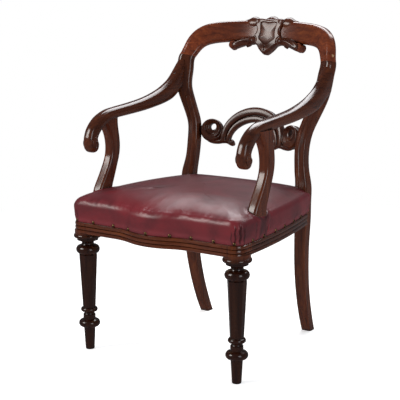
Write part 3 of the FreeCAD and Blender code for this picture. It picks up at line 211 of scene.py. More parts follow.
BACK_LINE = 0.467
HOLLOW_RADIUS = 0.4
RAKE_FROM = 0.545
RAKE_SLOPE = 0.32
RAKE_ROUNDING = 0.04


def rake(z):
    """How far the back leans backwards at a height: a branch of a hyperbola."""
    rise = z - RAKE_FROM
    return RAKE_SLOPE * (np.hypot(rise, RAKE_ROUNDING) + rise) / 2


def back_y(x, z):
    """The y of the back surface: its line and its rake, less x squared over twice the radius."""
    return AXIS_Y + BACK_LINE + rake(z) - x * x / (2 * HOLLOW_RADIUS)


def back_normals(x, z):
    """The way backwards, square to the back surface."""
    lean = (rake(z + 0.001) - rake(z - 0.001)) / 0.002
    return unit(np.stack([x / HOLLOW_RADIUS, np.ones_like(x), -lean], axis=-1))


def back_points(x, z, offset=0.0):
    """Points on the back surface, moved backwards by offset."""
    x, z, offset = np.broadcast_arrays(np.asarray(x, float), np.asarray(z, float), offset)
    here = np.stack([x, back_y(x, z), z], axis=-1)
    return here + back_normals(x, z) * offset[..., None]


def sweep_on_back(path, across, deep):
    """A closed section along a path of (x, z) on the back.

    across and deep hold the section of each station: sideways within the surface, and backwards.
    """
    here = back_points(path[:, 0], path[:, 1])
    along = unit(np.gradient(here, axis=0))
    normal = back_normals(path[:, 0], path[:, 1])
    side = unit(np.cross(along, normal))
    return (here[:, None, :] + side[:, None, :] * across[..., None]
            + normal[:, None, :] * deep[..., None])


def limb_on_back(path, radii, deeps, flatness, segments):
    """An oval limb on the back: its radius across, flatness times that deep.

    radii and flatness may vary round the section; deeps hold how far back its middle lies.
    """
    around = full_turn(segments)
    across = radii * np.cos(around)[None, :]
    deep = deeps[:, None] + flatness * radii * np.sin(around)[None, :]
    return sweep_on_back(path, across, deep)


# The outline of the seat

SEAT = SimpleNamespace(
    front=-0.031,
    back=0.437,
    front_half_width=0.268,
    back_half_width=0.204,
    side_bow=0.016,
    belly=0.025,
    belly_reach=0.125,
    corner=0.027,
    edge_height=0.414,
    edge_radius=0.020,
    crown=0.457,
    swell=0.003,
    leather=0.0028,
)
SHARPEST_CORNER = 0.003
CALM_REACH = 0.4
CALM_CORNER = 0.060
# points on each arc of half the outline, from the front middle to the back middle
ARC_COUNTS = (14, 14, 26, 34, 84, 26, 40)


def seat_outline(out, calm):
    """The seat in plan, from the front middle round by the left, grown outwards by out.

    It is made of arcs, as in the CAD. calm, from 0 to 1, flattens the belly of the front and
    rounds the corners more.
    """
    front = SEAT.front - out
    back = SEAT.back + out
    front_x = SEAT.front_half_width + out
    back_x = SEAT.back_half_width + out
    belly = SEAT.belly * (1 - calm)
    belly_x = SEAT.belly_reach * (1 - CALM_REACH * calm)
    corner = max(SEAT.corner + out, SHARPEST_CORNER) + CALM_CORNER * calm
    nip = corner * (1 - math.sqrt(0.5))

    def side_x(y):
        share = (y - front) / (back - front)
        return front_x + (back_x - front_x) * share + 4 * SEAT.side_bow * share * (1 - share)

    turn_y, end_y = front + corner, back - corner
    turn_x, end_x = side_x(turn_y), side_x(end_y)
    middle_y = (turn_y + end_y) / 2
    belly_middle = (belly_x / 2, front - belly / 2)
    arcs = [
        ((0, front - belly), (belly_x / 4, front - belly * 0.875), belly_middle),
        (belly_middle, (belly_x * 0.75, front - belly * 0.125), (belly_x, front)),
        ((belly_x, front), ((belly_x + turn_x - corner) / 2, front), (turn_x - corner, front)),
        ((turn_x - corner, front), (turn_x - nip, front + nip), (turn_x, turn_y)),
        ((turn_x, turn_y), (side_x(middle_y), middle_y), (end_x, end_y)),
        ((end_x, end_y), (end_x - nip, back - nip), (end_x - corner, back)),
        ((end_x - corner, back), ((end_x - corner) / 2, back), (0, back)),
    ]
    half = np.vstack([arc_points(*arc, count + 1)[:-1] for arc, count in zip(arcs, ARC_COUNTS)]
                     + [np.array([[0, back]])])
    whole = np.vstack([half, half[-2:0:-1] * np.array([-1, 1])])
    whole[:, 1] += AXIS_Y
    return whole


# Building materials from nodes

WHOLE = (1, 1, 1)


def new_material(name):
    """A material with its node tree and its main shader."""
    material = bpy.data.materials.new(name)
    material.use_nodes = True
    tree = material.node_tree
    tree.nodes.clear()
    output = tree.nodes.new("ShaderNodeOutputMaterial")
    shader = tree.nodes.new("ShaderNodeBsdfPrincipled")
    tree.links.new(shader.outputs["BSDF"], output.inputs["Surface"])
    return material, tree, shader


def node(tree, kind, **settings):
    """A node with its properties and its sockets' values."""
    made = tree.nodes.new(kind)
    for key, value in settings.items():
        if key in made.inputs:
            made.inputs[key].default_value = value
        else:
            setattr(made, key, value)
    return made


def set_sockets(shader, **values):
    """Set a shader's sockets; an underscore in a name stands for a space."""
    for name, value in values.items():
        shader.inputs[name.replace("_", " ")].default_value = value


def mapped(tree, scale=WHOLE, turn=(0, 0, 0), source="Object"):
    """The place on the piece in metres, or its UV, stretched and turned."""
    coordinates = tree.nodes.new("ShaderNodeTexCoord")
    mapping = tree.nodes.new("ShaderNodeMapping")
    mapping.inputs["Scale"].default_value = scale
    mapping.inputs["Rotation"].default_value = turn
    tree.links.new(coordinates.outputs[source], mapping.inputs["Vector"])
    return mapping.outputs["Vector"]


def noise(tree, vector, **settings):
    """Cloudy noise from 0 to 1."""
    made = node(tree, "ShaderNodeTexNoise", **settings)
    tree.links.new(vector, made.inputs["Vector"])
    return made.outputs["Fac"]


def ramp(tree, factor, stops):
    """Colours blended between stops of (place, colour)."""
    made = tree.nodes.new("ShaderNodeValToRGB")
    elements = made.color_ramp.elements
    while len(elements) < len(stops):
        elements.new(0.5)
    for element, (place, colour) in zip(elements, stops):
        element.position = place
        element.color = (*colour, 1)
    tree.links.new(factor, made.inputs["Fac"])
    return made.outputs["Color"]


def grey(value):
    """A colour with all three parts alike."""
    return (value, value, value)


def mix(tree, kind, factor, first, second):
    """Two colours blended; each value may be a socket or a plain value."""
    made = tree.nodes.new("ShaderNodeMix")
    made.data_type = "RGBA"
    made.blend_type = kind
    for socket, value in ((made.inputs["Factor"], factor), (made.inputs["A"], first),
                          (made.inputs["B"], second)):
        if isinstance(value, bpy.types.NodeSocket):
            tree.links.new(value, socket)
        else:
            socket.default_value = value if not hasattr(value, "__len__") else (*value, 1)
    return made.outputs["Result"]


def mix_shaders(tree, factor, first, second):
    """The first shader where the factor is 0 and the second where it is 1."""
    made = tree.nodes.new("ShaderNodeMixShader")
    for socket, value in zip(made.inputs, (factor, first, second)):
        tree.links.new(value, socket)
    return made.outputs[0]


def add_bump(tree, shader, height, strength, distance, before=None):
    """Fine relief on a shader, over the relief that came before."""
    made = node(tree, "ShaderNodeBump", Strength=strength, Distance=distance)
    tree.links.new(height, made.inputs["Height"])
    if before is not None:
        tree.links.new(before, made.inputs["Normal"])
    tree.links.new(made.outputs["Normal"], shader.inputs["Normal"])
    return made.outputs["Normal"]


# Wood: the grain is long along one axis. Front legs get painted shade below the seat rails, under
# the seat.

GRAIN = {"x": (1.6, 26, 26), "y": (26, 1.6, 26), "z": (26, 26, 1.6)}
GRAIN_TURN = (0.02, 0.03, 0.05)
PORE_STRETCH = 6
UNDER_SEAT_SHADE_FADE = (0.325, 0.338)
PAINTED_SHADE_REACH = 0.012


def mahogany(name, grain, colours, gloss, seed, foot=1.0):
    """Polished mahogany: figured colour, fine pores and painted shade in its hollows.

    colours are the dark, middle and light figure. foot paints shade on what lies below the seat
    rails, under the seat.
    """
    material, tree, shader = new_material(name)
    dark, mid, light = colours
    vector = mapped(tree, GRAIN[grain], GRAIN_TURN)
    warp = noise(tree, vector, Scale=0.55, Detail=3.0, Roughness=0.5, Distortion=0.4,
                 noise_dimensions="4D", W=seed)
    bands = noise(tree, vector, Scale=2.2, Detail=6.0, Roughness=0.62, Distortion=1.6,
                  noise_dimensions="4D", W=seed + 3.1)
    figure = ramp(tree, bands, [(0.22, dark), (0.52, mid), (0.90, light)])
    clouds = ramp(tree, warp, [(0.30, grey(0.62)), (0.66, grey(1.25))])
    colour = mix(tree, "MULTIPLY", 0.8, figure, clouds)

    pores = noise(tree, mapped(tree, tuple(v / PORE_STRETCH for v in GRAIN[grain])),
                  Scale=60.0, Detail=2.0, Roughness=0.6)
    pits = ramp(tree, pores, [(0.34, grey(0.45)), (0.46, grey(1.0))])
    colour = mix(tree, "MULTIPLY", 0.22, colour, pits)

    # painted shade: foot darkens the colour below the seat rails, under the seat
    if foot < 1.0:
        place = tree.nodes.new("ShaderNodeSeparateXYZ")
        tree.links.new(mapped(tree), place.inputs[0])
        below = ramp(tree, place.outputs["Z"], list(zip(UNDER_SEAT_SHADE_FADE, (grey(foot), grey(1.0)))))
        colour = mix(tree, "MULTIPLY", 1.0, colour, below)
    # painted shade: ambient occlusion darkens the colour in hollows and where parts meet
    painted_shade_ao = node(tree, "ShaderNodeAmbientOcclusion", Distance=PAINTED_SHADE_REACH, samples=6)
    shade = ramp(tree, painted_shade_ao.outputs["AO"], [(0.25, grey(0.16)), (0.85, grey(1.0))])
    colour = mix(tree, "MULTIPLY", 0.85, colour, shade)
    tree.links.new(colour, shader.inputs["Base Color"])

    smears = noise(tree, mapped(tree), Scale=14.0, Detail=4.0, Roughness=0.6)
    rough = ramp(tree, smears, [(0.3, grey(gloss * 0.9)), (0.7, grey(gloss * 1.25))])
    tree.links.new(rough, shader.inputs["Roughness"])
    set_sockets(shader, Specular_IOR_Level=0.38, Coat_Weight=0.25, Coat_Roughness=0.14,
                Coat_IOR=1.5)
    under = add_bump(tree, shader, pits, 0.05, 0.0003)
    add_bump(tree, shader, smears, 0.05, 0.0010, under)
    return material


def plain_wood(name, grain, light, dark):
    """Unpolished secondary wood."""
    material, tree, shader = new_material(name)
    bands = noise(tree, mapped(tree, GRAIN[grain]), Scale=3.0, Detail=5.0, Roughness=0.6,
                  Distortion=0.8)
    colour = ramp(tree, bands, [(0.3, dark), (0.7, light)])
    tree.links.new(colour, shader.inputs["Base Color"])
    set_sockets(shader, Roughness=0.7)
    add_bump(tree, shader, bands, 0.2, 0.0006)
    return material


# Metal, leather and cloth

def metal(name, bright, dull, roughness):
    """Tarnished metal, dull in patches."""
    material, tree, shader = new_material(name)
    spots = noise(tree, mapped(tree), Scale=240.0, Detail=4.0, Roughness=0.6)
    colour = ramp(tree, spots, [(0.35, dull), (0.68, bright)])
    tree.links.new(colour, shader.inputs["Base Color"])
    rough = ramp(tree, spots, [(0.3, grey(roughness * 1.5)), (0.7, grey(roughness))])
    tree.links.new(rough, shader.inputs["Roughness"])
    set_sockets(shader, Metallic=1.0)
    add_bump(tree, shader, spots, 0.25, 0.0003)
    return material


def leather_material(colour):
    """Hand dyed hide: mottled burgundy, fine grain, painted shade in its folds, lighter on its
    edges from rubbed wear and a painted highlight.
    """
    material, tree, shader = new_material("leather")
    red, green, blue = colour
    place = mapped(tree)
    clouds = noise(tree, place, Scale=9.0, Detail=5.0, Roughness=0.55, Distortion=0.6)
    base = ramp(tree, clouds, [
        (0.30, (red * 0.55, green * 0.5, blue * 0.6)),
        (0.52, (red, green, blue)),
        (0.75, (red * 1.35, green * 1.25, blue * 1.15)),
    ])
    # painted shade: darker in the folds, at the nail dimples and round the arm supports
    painted_fold_shade = node(tree, "ShaderNodeAttribute", attribute_name="painted_fold_shade")
    base = mix(tree, "MULTIPLY", painted_fold_shade.outputs["Fac"], base, (0.22, 0.16, 0.18))
    # lighter edges: rubbed wear with a painted highlight along the crinkled front edge and above
    # the nails
    rub_and_highlight = node(tree, "ShaderNodeAttribute", attribute_name="rub_and_highlight")
    worn_and_highlight = (red * 1.7, green * 2.6 + 0.008, blue * 2.2 + 0.008)
    base = mix(tree, "MIX", rub_and_highlight.outputs["Fac"], base, worn_and_highlight)
    tree.links.new(base, shader.inputs["Base Color"])

    grain = node(tree, "ShaderNodeTexVoronoi", Scale=900.0, feature="DISTANCE_TO_EDGE")
    tree.links.new(place, grain.inputs["Vector"])
    cells = ramp(tree, grain.outputs["Distance"], [(0.0, grey(0.0)), (0.16, grey(1.0))])
    creases = noise(tree, place, Scale=150.0, Detail=5.0, Roughness=0.65, Distortion=0.8)
    rough = ramp(tree, clouds, [(0.3, grey(0.46)), (0.7, grey(0.36))])
    tree.links.new(rough, shader.inputs["Roughness"])
    set_sockets(shader, Coat_Weight=0.22, Coat_Roughness=0.36)
    under = add_bump(tree, shader, cells, 0.10, 0.0002)
    add_bump(tree, shader, creases, 0.22, 0.0008, under)
    return material


def woven(name, light, dark, threads_along, threads_across):
    """Jute cloth: threads over and under, from the UVs of a strip or a sheet."""
    material, tree, shader = new_material(name)
    vector = mapped(tree, (threads_along, threads_across, 1), source="UV")
    waves = []
    for axis in ("X", "Y"):
        wave = node(tree, "ShaderNodeTexWave", Scale=1.0, Distortion=0.6, Detail=1.0,
                    bands_direction=axis)
        tree.links.new(vector, wave.inputs["Vector"])
        waves.append(wave.outputs["Fac"])
    height = mix(tree, "DIFFERENCE", 1.0, *waves)
    fuzz = noise(tree, mapped(tree), Scale=70.0, Detail=4.0, Roughness=0.7)
    colour = ramp(tree, fuzz, [(0.3, dark), (0.7, light)])
    # painted shade: the weave's height darkens the threads where they dip under
    colour = mix(tree, "MULTIPLY", 0.5, colour, height)
    tree.links.new(colour, shader.inputs["Base Color"])
    set_sockets(shader, Roughness=0.95, Sheen_Weight=0.3)
    add_bump(tree, shader, height, 0.6, 0.0008)
    return material


# Colours and sizes that a user may change

class ArmchairFinish(bpy.types.PropertyGroup):
    """Colours of the chair."""
    wood_dark: FloatVectorProperty(
        name="Wood dark", description="Darkest figure of the mahogany", subtype="COLOR", size=3,
        default=(0.020, 0.0042, 0.0022), min=0, max=1)
    wood_mid: FloatVectorProperty(
        name="Wood middle", description="Middle tone of the mahogany", subtype="COLOR", size=3,
        default=(0.080, 0.0180, 0.0058), min=0, max=1)
    wood_light: FloatVectorProperty(
        name="Wood light", description="Lightest figure of the mahogany", subtype="COLOR", size=3,
        default=(0.165, 0.046, 0.0110), min=0, max=1)
    wood_gloss: FloatProperty(
        name="Wood roughness", description="Roughness of the polish", default=0.2, min=0.02, max=1)
    leather: FloatVectorProperty(
        name="Leather", description="Colour of the hide", subtype="COLOR", size=3,
        default=(0.122, 0.0054, 0.0106), min=0, max=1)


class ArmchairSeat(bpy.types.PropertyGroup):
    """Shape of the stuffed seat."""
    crown: FloatProperty(
        name="Crown", description="Rise of the seat's middle over its padding", default=0.004,
        min=0, max=0.02, unit="LENGTH")
    pressure: FloatProperty(
        name="Fill", description="Pressure of the stuffing under the leather", default=1.0, min=0,
        max=10)
    frames: IntProperty(
        name="Settling", description="Steps in which the leather settles", default=14, min=1,
        max=40)
    wrinkle: FloatProperty(
        name="Wrinkles", description="Height of the wrinkles on the front edge", default=0.0014,
        min=0, max=0.004, unit="LENGTH")
    pleat: FloatProperty(
        name="Pleats", description="Depth of the pleats at the corners", default=0.0028, min=0,
        max=0.006, unit="LENGTH")


class ArmchairCarving(bpy.types.PropertyGroup):
    """Relief of the carving."""
    shield_field: FloatProperty(
        name="Shield field", description="Depth of the sunk field of the shield", default=0.0035,
        min=0, max=0.008, unit="LENGTH")
    groove: FloatProperty(
        name="Groove", description="Depth of the groove round the arch", default=0.0055, min=0,
        max=0.01, unit="LENGTH")
    lappet: FloatProperty(
        name="Lappet", description="Height of the beads on the stiles", default=0.0045, min=0,
        max=0.01, unit="LENGTH")


# Finishes of the CAD pieces

# name, grain, share of the chosen colours, warmth, roughness, figure, foot (painted shade under the
# seat) and the nodes
WOODS = (
    ("crest", "x", 1.5, 1.12, 1.0, 1.0, 1.0, ("crest_rail", "crest_carving")),
    ("front rail", "x", 0.95, 1.0, 1.0, 5.0, 1.0, ("front_seat_rail",)),
    ("side rail", "y", 0.62, 1.0, 1.0, 6.0, 1.0, ("side_seat_rail_left", "side_seat_rail_right")),
    ("arm", "y", 0.70, 1.0, 1.0, 7.0, 1.0, ("arm_left", "arm_right")),
    ("stile", "z", 0.72, 1.0, 1.0, 8.0, 1.0,
     ("back_leg_left", "back_leg_right", "arm_screw_plug_left", "arm_screw_plug_right")),
    ("support", "z", 0.80, 1.05, 1.0, 9.0, 1.0, ("arm_support_left", "arm_support_right")),
    # the front legs' foot of 0.24 is painted shade under the seat
    ("leg", "z", 0.85, 1.0, 0.9, 10.0, 0.24, ("front_leg_left", "front_leg_right")),
    ("back rail", "x", 0.8, 1.0, 1.6, 11.0, 1.0, ("back_seat_rail",)),
)
BEECH_NODES = ("corner_block_front_left", "corner_block_front_right", "corner_block_back_left",
               "corner_block_back_right", "seat_rail_dowels", "crest_rail_dowels",
               "arm_support_dowels")
STEEL_NODES = ("arm_screws", "corner_block_screws", "webbing_tacks")


def paint(names, material):
    """Give CAD nodes a material."""
    for name in names:
        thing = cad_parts[name]
        thing.data.materials.clear()
        thing.data.materials.append(material)


def wood_colours(look, shares, warm=1.0):
    """The chosen dark, middle and light colours, each times its share, with the red warmed."""
    return [tuple(v * share * (warm if i == 0 else 1) for i, v in enumerate(colour))
            for colour, share in zip((look.wood_dark, look.wood_mid, look.wood_light), shares)]


def carved_material(look):
    """The mahogany of the carved pieces, made once."""
    found = bpy.data.materials.get("mahogany carved")
    return found or mahogany("mahogany carved", "x", wood_colours(look, (1.0, 0.85, 0.9)),
                             look.wood_gloss * 1.35, 2.0)


class ARMCHAIR_OT_wood(bpy.types.Operator):
    """Polish the mahogany members, each with the grain along its length"""
    bl_idname = "armchair.wood"
    bl_label = "Wood"

    def execute(self, context):
        look = context.scene.armchair_finish
        for name, grain, share, warm, rough, seed, foot, nodes in WOODS:
            colours = wood_colours(look, (share,) * 3, warm)
            paint(nodes, mahogany("mahogany " + name, grain, colours, look.wood_gloss * rough,
                                  seed, foot))
        paint(BEECH_NODES, plain_wood("beech", "x", (0.42, 0.26, 0.13), (0.24, 0.13, 0.06)))
        return {"FINISHED"}


class ARMCHAIR_OT_metal(bpy.types.Operator):
    """Tarnish the nails, screws and tacks"""
    bl_idname = "armchair.metal"
    bl_label = "Metal"

    def execute(self, context):
        paint(["brass_nails"], metal("brass", (0.30, 0.19, 0.085), (0.055, 0.034, 0.018), 0.30))
        paint(STEEL_NODES, metal("steel", (0.35, 0.34, 0.33), (0.12, 0.10, 0.09), 0.45))
        return {"FINISHED"}


# The leather seat: rings of points from under its foot, over the edge to the crown

WALL_RINGS = 15
EDGE_RINGS = 14
EDGE_SWEEP = 68
SLOPE_RINGS = 16
CROWN_INSET = 0.150
EDGE_CALM, SLOPE_CALM, CROWN_CALM = 0.2, 0.7, 0.9
# the first rings lie under the foot and show nothing
FOOT_RINGS = 8


def cover_rings():
    """The rings, each as (height, outward, calm, share left of the plan, how firmly it is held).

    A disc under the foot, an upright wall, a part circle over the edge, a slope that flattens as
    a parabola, and the level crown.
    """
    out = SEAT.leather
    foot = MOULDING_TOP + 0.0012
    rings = [(0.4050, -0.010, 0.0, share, 1.0) for share in (0.05, 0.35, 0.7, 1.0)]
    rings += [(0.4000, -0.004, 0.0, 1.0, 1.0), (0.3995, 0.0003, 0.0, 1.0, 1.0),
              (MOULDING_TOP + 0.0004, 0.0003, 0.0, 1.0, 1.0),
              (MOULDING_TOP + 0.0003, out - 0.0006, 0.0, 1.0, 1.0)]
    for share in np.linspace(0, 1, WALL_RINGS):
        grown = SEAT.swell * math.sin(share * math.pi / 2)
        rings.append((foot + (SEAT.edge_height - foot) * share, out + grown, 0.0, 1.0,
                      max(0.0, 1 - share * 1.6)))
    full = out + SEAT.swell
    for step in range(1, EDGE_RINGS + 1):
        angle = math.radians(EDGE_SWEEP * step / EDGE_RINGS)
        inset = SEAT.edge_radius * (1 - math.cos(angle))
        height = SEAT.edge_height + SEAT.edge_radius * math.sin(angle)
        rings.append((height, full - inset, EDGE_CALM * step / EDGE_RINGS, 1.0, 0.0))
    for share in np.linspace(0, 1, SLOPE_RINGS + 1)[1:]:
        z = height + (SEAT.crown - height) * (1 - (1 - share) ** 2)
        rings.append((z, full - inset - (CROWN_INSET - inset) * share ** 1.2,
                      EDGE_CALM + SLOPE_CALM * share, 1.0, 0.0))
    return rings + [(SEAT.crown, full - CROWN_INSET, CROWN_CALM, share, 0.0)
                    for share in (0.84, 0.68, 0.52, 0.38, 0.24, 0.12, 0.02)]


def cover_points(crown):
    """The cover as a grid of points, its top domed by crown, and how firmly each ring is held."""
    rings = cover_rings()
    rows = []
    for z, out, calm, share, _ in rings:
        outline = seat_outline(out, calm)
        middle = np.array([0, (outline[:, 1].min() + outline[:, 1].max()) / 2 + 0.01])
        plan = middle + (outline - middle) * share
        rise = np.full(len(plan), z)
        if z > SEAT.edge_height + 0.018:
            far = np.hypot(plan[:, 0] / 0.27, (plan[:, 1] - middle[1]) / 0.235)
            rise = rise + crown * np.clip(1 - far ** 2, 0, 1)
        rows.append(np.column_stack([plan, rise]))
    return np.stack(rows), np.array([ring[4] for ring in rings])


CLOTH = {"quality": 6, "mass": 0.4, "tension_stiffness": 40, "compression_stiffness": 40,
         "shear_stiffness": 20, "bending_stiffness": 8, "use_pressure": True}


def settle(piece, held, pressure, frames):
    """Let the leather swell under its stuffing, held at its foot, and return its places."""
    group = piece.vertex_groups.new(name="held")
    for weight in sorted(set(np.round(held, 2))):
        chosen = np.flatnonzero(np.round(held, 2) == weight)
        group.add(chosen.tolist(), float(weight), "REPLACE")
    modifier = piece.modifiers.new("Cloth", "CLOTH")
    cloth = modifier.settings
    for key, value in CLOTH.items():
        setattr(cloth, key, value)
    cloth.uniform_pressure_force = pressure
    cloth.vertex_group_mass = "held"
    cloth.effector_weights.gravity = 0
    modifier.collision_settings.use_collision = False
    modifier.collision_settings.use_self_collision = False
    scene = bpy.context.scene
    for step in range(1, frames + 1):
        scene.frame_set(step)
    shaped = piece.evaluated_get(bpy.context.evaluated_depsgraph_get())
    settled = np.empty(len(piece.data.vertices) * 3)
    shaped.data.vertices.foreach_get("co", settled)
    piece.modifiers.remove(modifier)
    piece.vertex_groups.clear()
    scene.frame_set(1)
    return settled.reshape(-1, 3)


MOST_SWELL = 0.0022
CALMING_ROUNDS = 60
CROWN_RINGS = 14


def calmed(moved):
    """The settled movement without its small ripples.

    Each point takes a mean with its neighbours, many times over, and the inner rings blend
    towards one level.
    """
    for _ in range(CALMING_ROUNDS):
        around = (np.roll(moved, 1, axis=1) + np.roll(moved, -1, axis=1)) / 2
        above = np.vstack([moved[:1], moved[:-1]])
        below = np.vstack([moved[1:], moved[-1:]])
        moved = moved * 0.4 + around * 0.3 + (above + below) * 0.15
    toward_middle = np.linspace(0, 1, CROWN_RINGS)[:, None, None]
    crown = moved[-CROWN_RINGS:]
    level = crown[0].mean(axis=0)
    moved[-CROWN_RINGS:] = crown * (1 - toward_middle) + level * toward_middle
    return moved


NAIL_HEIGHT = 0.3725
NAIL_REACH = 0.0035
NAIL_SPACING = 0.02


def nail_points():
    """Middle of each nail head in plan, read from the CAD solids."""
    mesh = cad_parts["brass_nails"].data
    points = np.empty(len(mesh.vertices) * 3)
    mesh.vertices.foreach_get("co", points)
    points = points.reshape(-1, 3)
    outline = seat_outline(SEAT.leather, 0.0)
    gap = np.linalg.norm(points[:, None, :2] - outline[None, ::2], axis=2).min(axis=1)
    found = []
    for point in points[gap < NAIL_REACH]:
        if not any(np.linalg.norm(point - other) < NAIL_SPACING for other in found):
            found.append(point)
    return np.array(found)[:, :2]


# Folds of the hide, as (place, width, share of the pleat depth, height of the top). The place is
# the angle round a front corner in degrees, or the y down a side.
CORNER_PLEATS = ((18, 0.0016, 0.8, 0.418), (38, 0.0022, 1.15, 0.428),
                 (58, 0.0018, 0.9, 0.424), (74, 0.0014, 0.6, 0.410))
SIDE_FOLDS = ((0.046, 0.0016, 0.55, 0.425), (0.104, 0.0020, 0.8, 0.430),
              (0.118, 0.0015, 0.5, 0.412), (0.078, 0.0016, 0.5, 0.402))
FOLD_FOOT = 0.366
CORNER_X = 0.238
FAR = 1.0
SUPPORT_X, SUPPORT_Y = 0.252, 0.080
SUPPORT_HALF_WIDTH, SUPPORT_HALF_DEPTH = 0.0185, 0.033


def hide_surface(grid, swollen):
    """The swollen cover, ready for its folds: its places, the way out, and what lies outside."""
    points = swollen.reshape(grid.shape).copy()
    outward = points - np.array([0, AXIS_Y + 0.2, 0])
    outward[..., 2] = 0
    outer = np.zeros(grid.shape[:2])
    outer[FOOT_RINGS:, :] = 1.0
    return SimpleNamespace(
        points=points, x=points[..., 0].copy(), y=points[..., 1] - AXIS_Y,
        z=points[..., 2].copy(), outward=unit(outward), outer=outer, painted_fold_shade=np.zeros(outer.shape))


def push_out(hide, distance):
    """Move the hide outwards, or inwards where the distance is below zero."""
    hide.points = hide.points + hide.outward * distance[..., None]


def crease(hide, distance, width, depth, top):
    """A vertical fold: a narrow valley with a soft lip on both sides, as bells of the distance."""
    valley = bump(distance, 0, width)
    lip = bump(np.abs(distance), 2.2 * width, 1.3 * width)
    tall = (smooth(FOLD_FOOT, FOLD_FOOT + 0.012, hide.z)
            * (1 - smooth(top - 0.016, top, hide.z)) * hide.outer)
    push_out(hide, (lip * 0.4 - valley) * depth * tall)
    # painted shade in the valley of the fold
    hide.painted_fold_shade = np.maximum(hide.painted_fold_shade, valley * tall * 0.9)


def add_folds(hide, pleat):
    """Pleats round the front corners, folds down the sides and a roll round each arm support."""
    for _, sign in SIDES:
        left = sign * hide.x
        corner = (left > 0.15) & (hide.y < 0.06)
        angle = np.degrees(np.arctan2(-hide.y, left - CORNER_X))
        reach = np.hypot(left - CORNER_X, hide.y)
        for turn, width, depth, top in CORNER_PLEATS:
            distance = np.where(corner, np.radians(angle - turn) * reach, FAR)
            distance = distance + 0.0012 * np.sin(hide.z * 260 + turn)
            crease(hide, distance, width, pleat * depth, top)
        flank = left > 0.18
        for middle, width, depth, top in SIDE_FOLDS:
            wander = 0.0015 * np.sin(hide.z * 190)
            distance = np.where(flank, hide.y - middle + wander, FAR)
            crease(hide, distance, width, pleat * depth, top)
        foot = np.hypot((left - SUPPORT_X) / SUPPORT_HALF_WIDTH,
                        (hide.y - SUPPORT_Y) / SUPPORT_HALF_DEPTH)
        roll = bump(foot, 1.18, 0.16) * hide.outer * smooth(0.395, 0.41, hide.z)
        hide.points[..., 2] += 0.0035 * roll
        push_out(hide, 0.0015 * roll)
        # painted shade round the foot of the arm support
        hide.painted_fold_shade = np.maximum(hide.painted_fold_shade, bump(foot, 0.98, 0.12) * hide.outer * 0.8)


def add_nail_dimples(hide):
    """Draw the hide in at each nail, and leave it full between them."""
    near = np.full(hide.x.shape, FAR)
    for nail_x, nail_y in nail_points():
        away = np.sqrt((hide.points[..., 0] - nail_x) ** 2 + (hide.points[..., 1] - nail_y) ** 2
                       + (hide.z - NAIL_HEIGHT) ** 2)
        near = np.minimum(near, away)
    push_out(hide, -0.0009 * bump(near, 0, 0.009) * hide.outer)
    # painted shade in the dimple at each nail
    hide.painted_fold_shade = np.maximum(hide.painted_fold_shade, bump(near, 0, 0.0075) * hide.outer * 0.55)
    side = smooth(0.3695, 0.376, hide.z) * (1 - smooth(0.428, 0.437, hide.z)) * hide.outer
    push_out(hide, 0.0011 * (1 - bump(near, 0, 0.022)) * side)


def add_wrinkles(hide, wrinkle):
    """Crinkle the front edge with sums of sines, and return how much each place is rubbed and lit
    by a painted highlight.
    """
    x, y, z, outer = hide.x, hide.y, hide.z, hide.outer
    front = bump(y, -0.045, 0.03)
    band = bump(z, 0.4285, 0.006) * outer
    ripple = (np.sin(x * 210 + 2.3 * np.sin(x * 37)) * 0.5 + np.sin(x * 390 + 1.1) * 0.3
              + np.sin(x * 95 + y * 60) * 0.55)
    hide.points[..., 2] += wrinkle * ripple * band * front
    push_out(hide, wrinkle * 0.7 * np.roll(ripple, 3, axis=1) * band * front)
    pull = bump(z, 0.45, 0.02) * bump(y, 0.02, 0.05) * outer
    hide.points[..., 2] += 0.00015 * np.sin(x * 120 + 1.7 * np.sin(x * 31)) * pull
    # rubbed wear and painted highlight: lighter along the crinkled top of the edge and in a band
    # above the nails
    edge = bump(z, 0.430, 0.007) * outer * (0.30 + 0.25 * np.clip(ripple, -1, 1))
    edge = np.clip(edge * (0.4 + 0.6 * front), 0, 0.6)
    low = bump(z, 0.3765, 0.006) * outer * 0.35
    return np.maximum(edge, low * (1 - hide.painted_fold_shade))


class ARMCHAIR_OT_seat(bpy.types.Operator):
    """Stretch the leather over the stuffing and nail it down"""
    bl_idname = "armchair.seat"
    bl_label = "Leather seat"

    def execute(self, context):
        sizes = context.scene.armchair_seat
        grid, held = cover_points(sizes.crown)
        material = leather_material(tuple(context.scene.armchair_finish.leather))
        cover = add_mesh("seat_cover", [(grid, False, True)], material)
        fix_normals(cover)
        swollen = grid.reshape(-1, 3)
        weights = np.repeat(held, grid.shape[1])
        moved = settle(cover, weights, sizes.pressure, sizes.frames) - swollen
        moved = calmed(moved.reshape(grid.shape)).reshape(-1, 3)
        far = np.linalg.norm(moved, axis=1, keepdims=True)
        swollen = swollen + moved * np.minimum(1, MOST_SWELL / np.maximum(far, 1e-9))
        hide = hide_surface(grid, swollen)
        add_folds(hide, sizes.pleat)
        add_nail_dimples(hide)
        rub_and_highlight = add_wrinkles(hide, sizes.wrinkle)
        cover.data.vertices.foreach_set("co", hide.points.ravel())
        # the folds carry painted shade; the rubbed edges carry wear and a painted highlight
        for name, values in (("painted_fold_shade", hide.painted_fold_shade), ("rub_and_highlight", rub_and_highlight)):
            layer = cover.data.attributes.new(name, "FLOAT", "POINT")
            layer.data.foreach_set("value", values.astype(np.float32).ravel())
        cover.data.update()
        finer = cover.modifiers.new("Subdivision", "SUBSURF")
        finer.levels = 1
        finer.render_levels = 1
        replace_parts(cover, "seat_leather", "seat_stuffing")
        return {"FINISHED"}


# Webbing and hessian under the seat

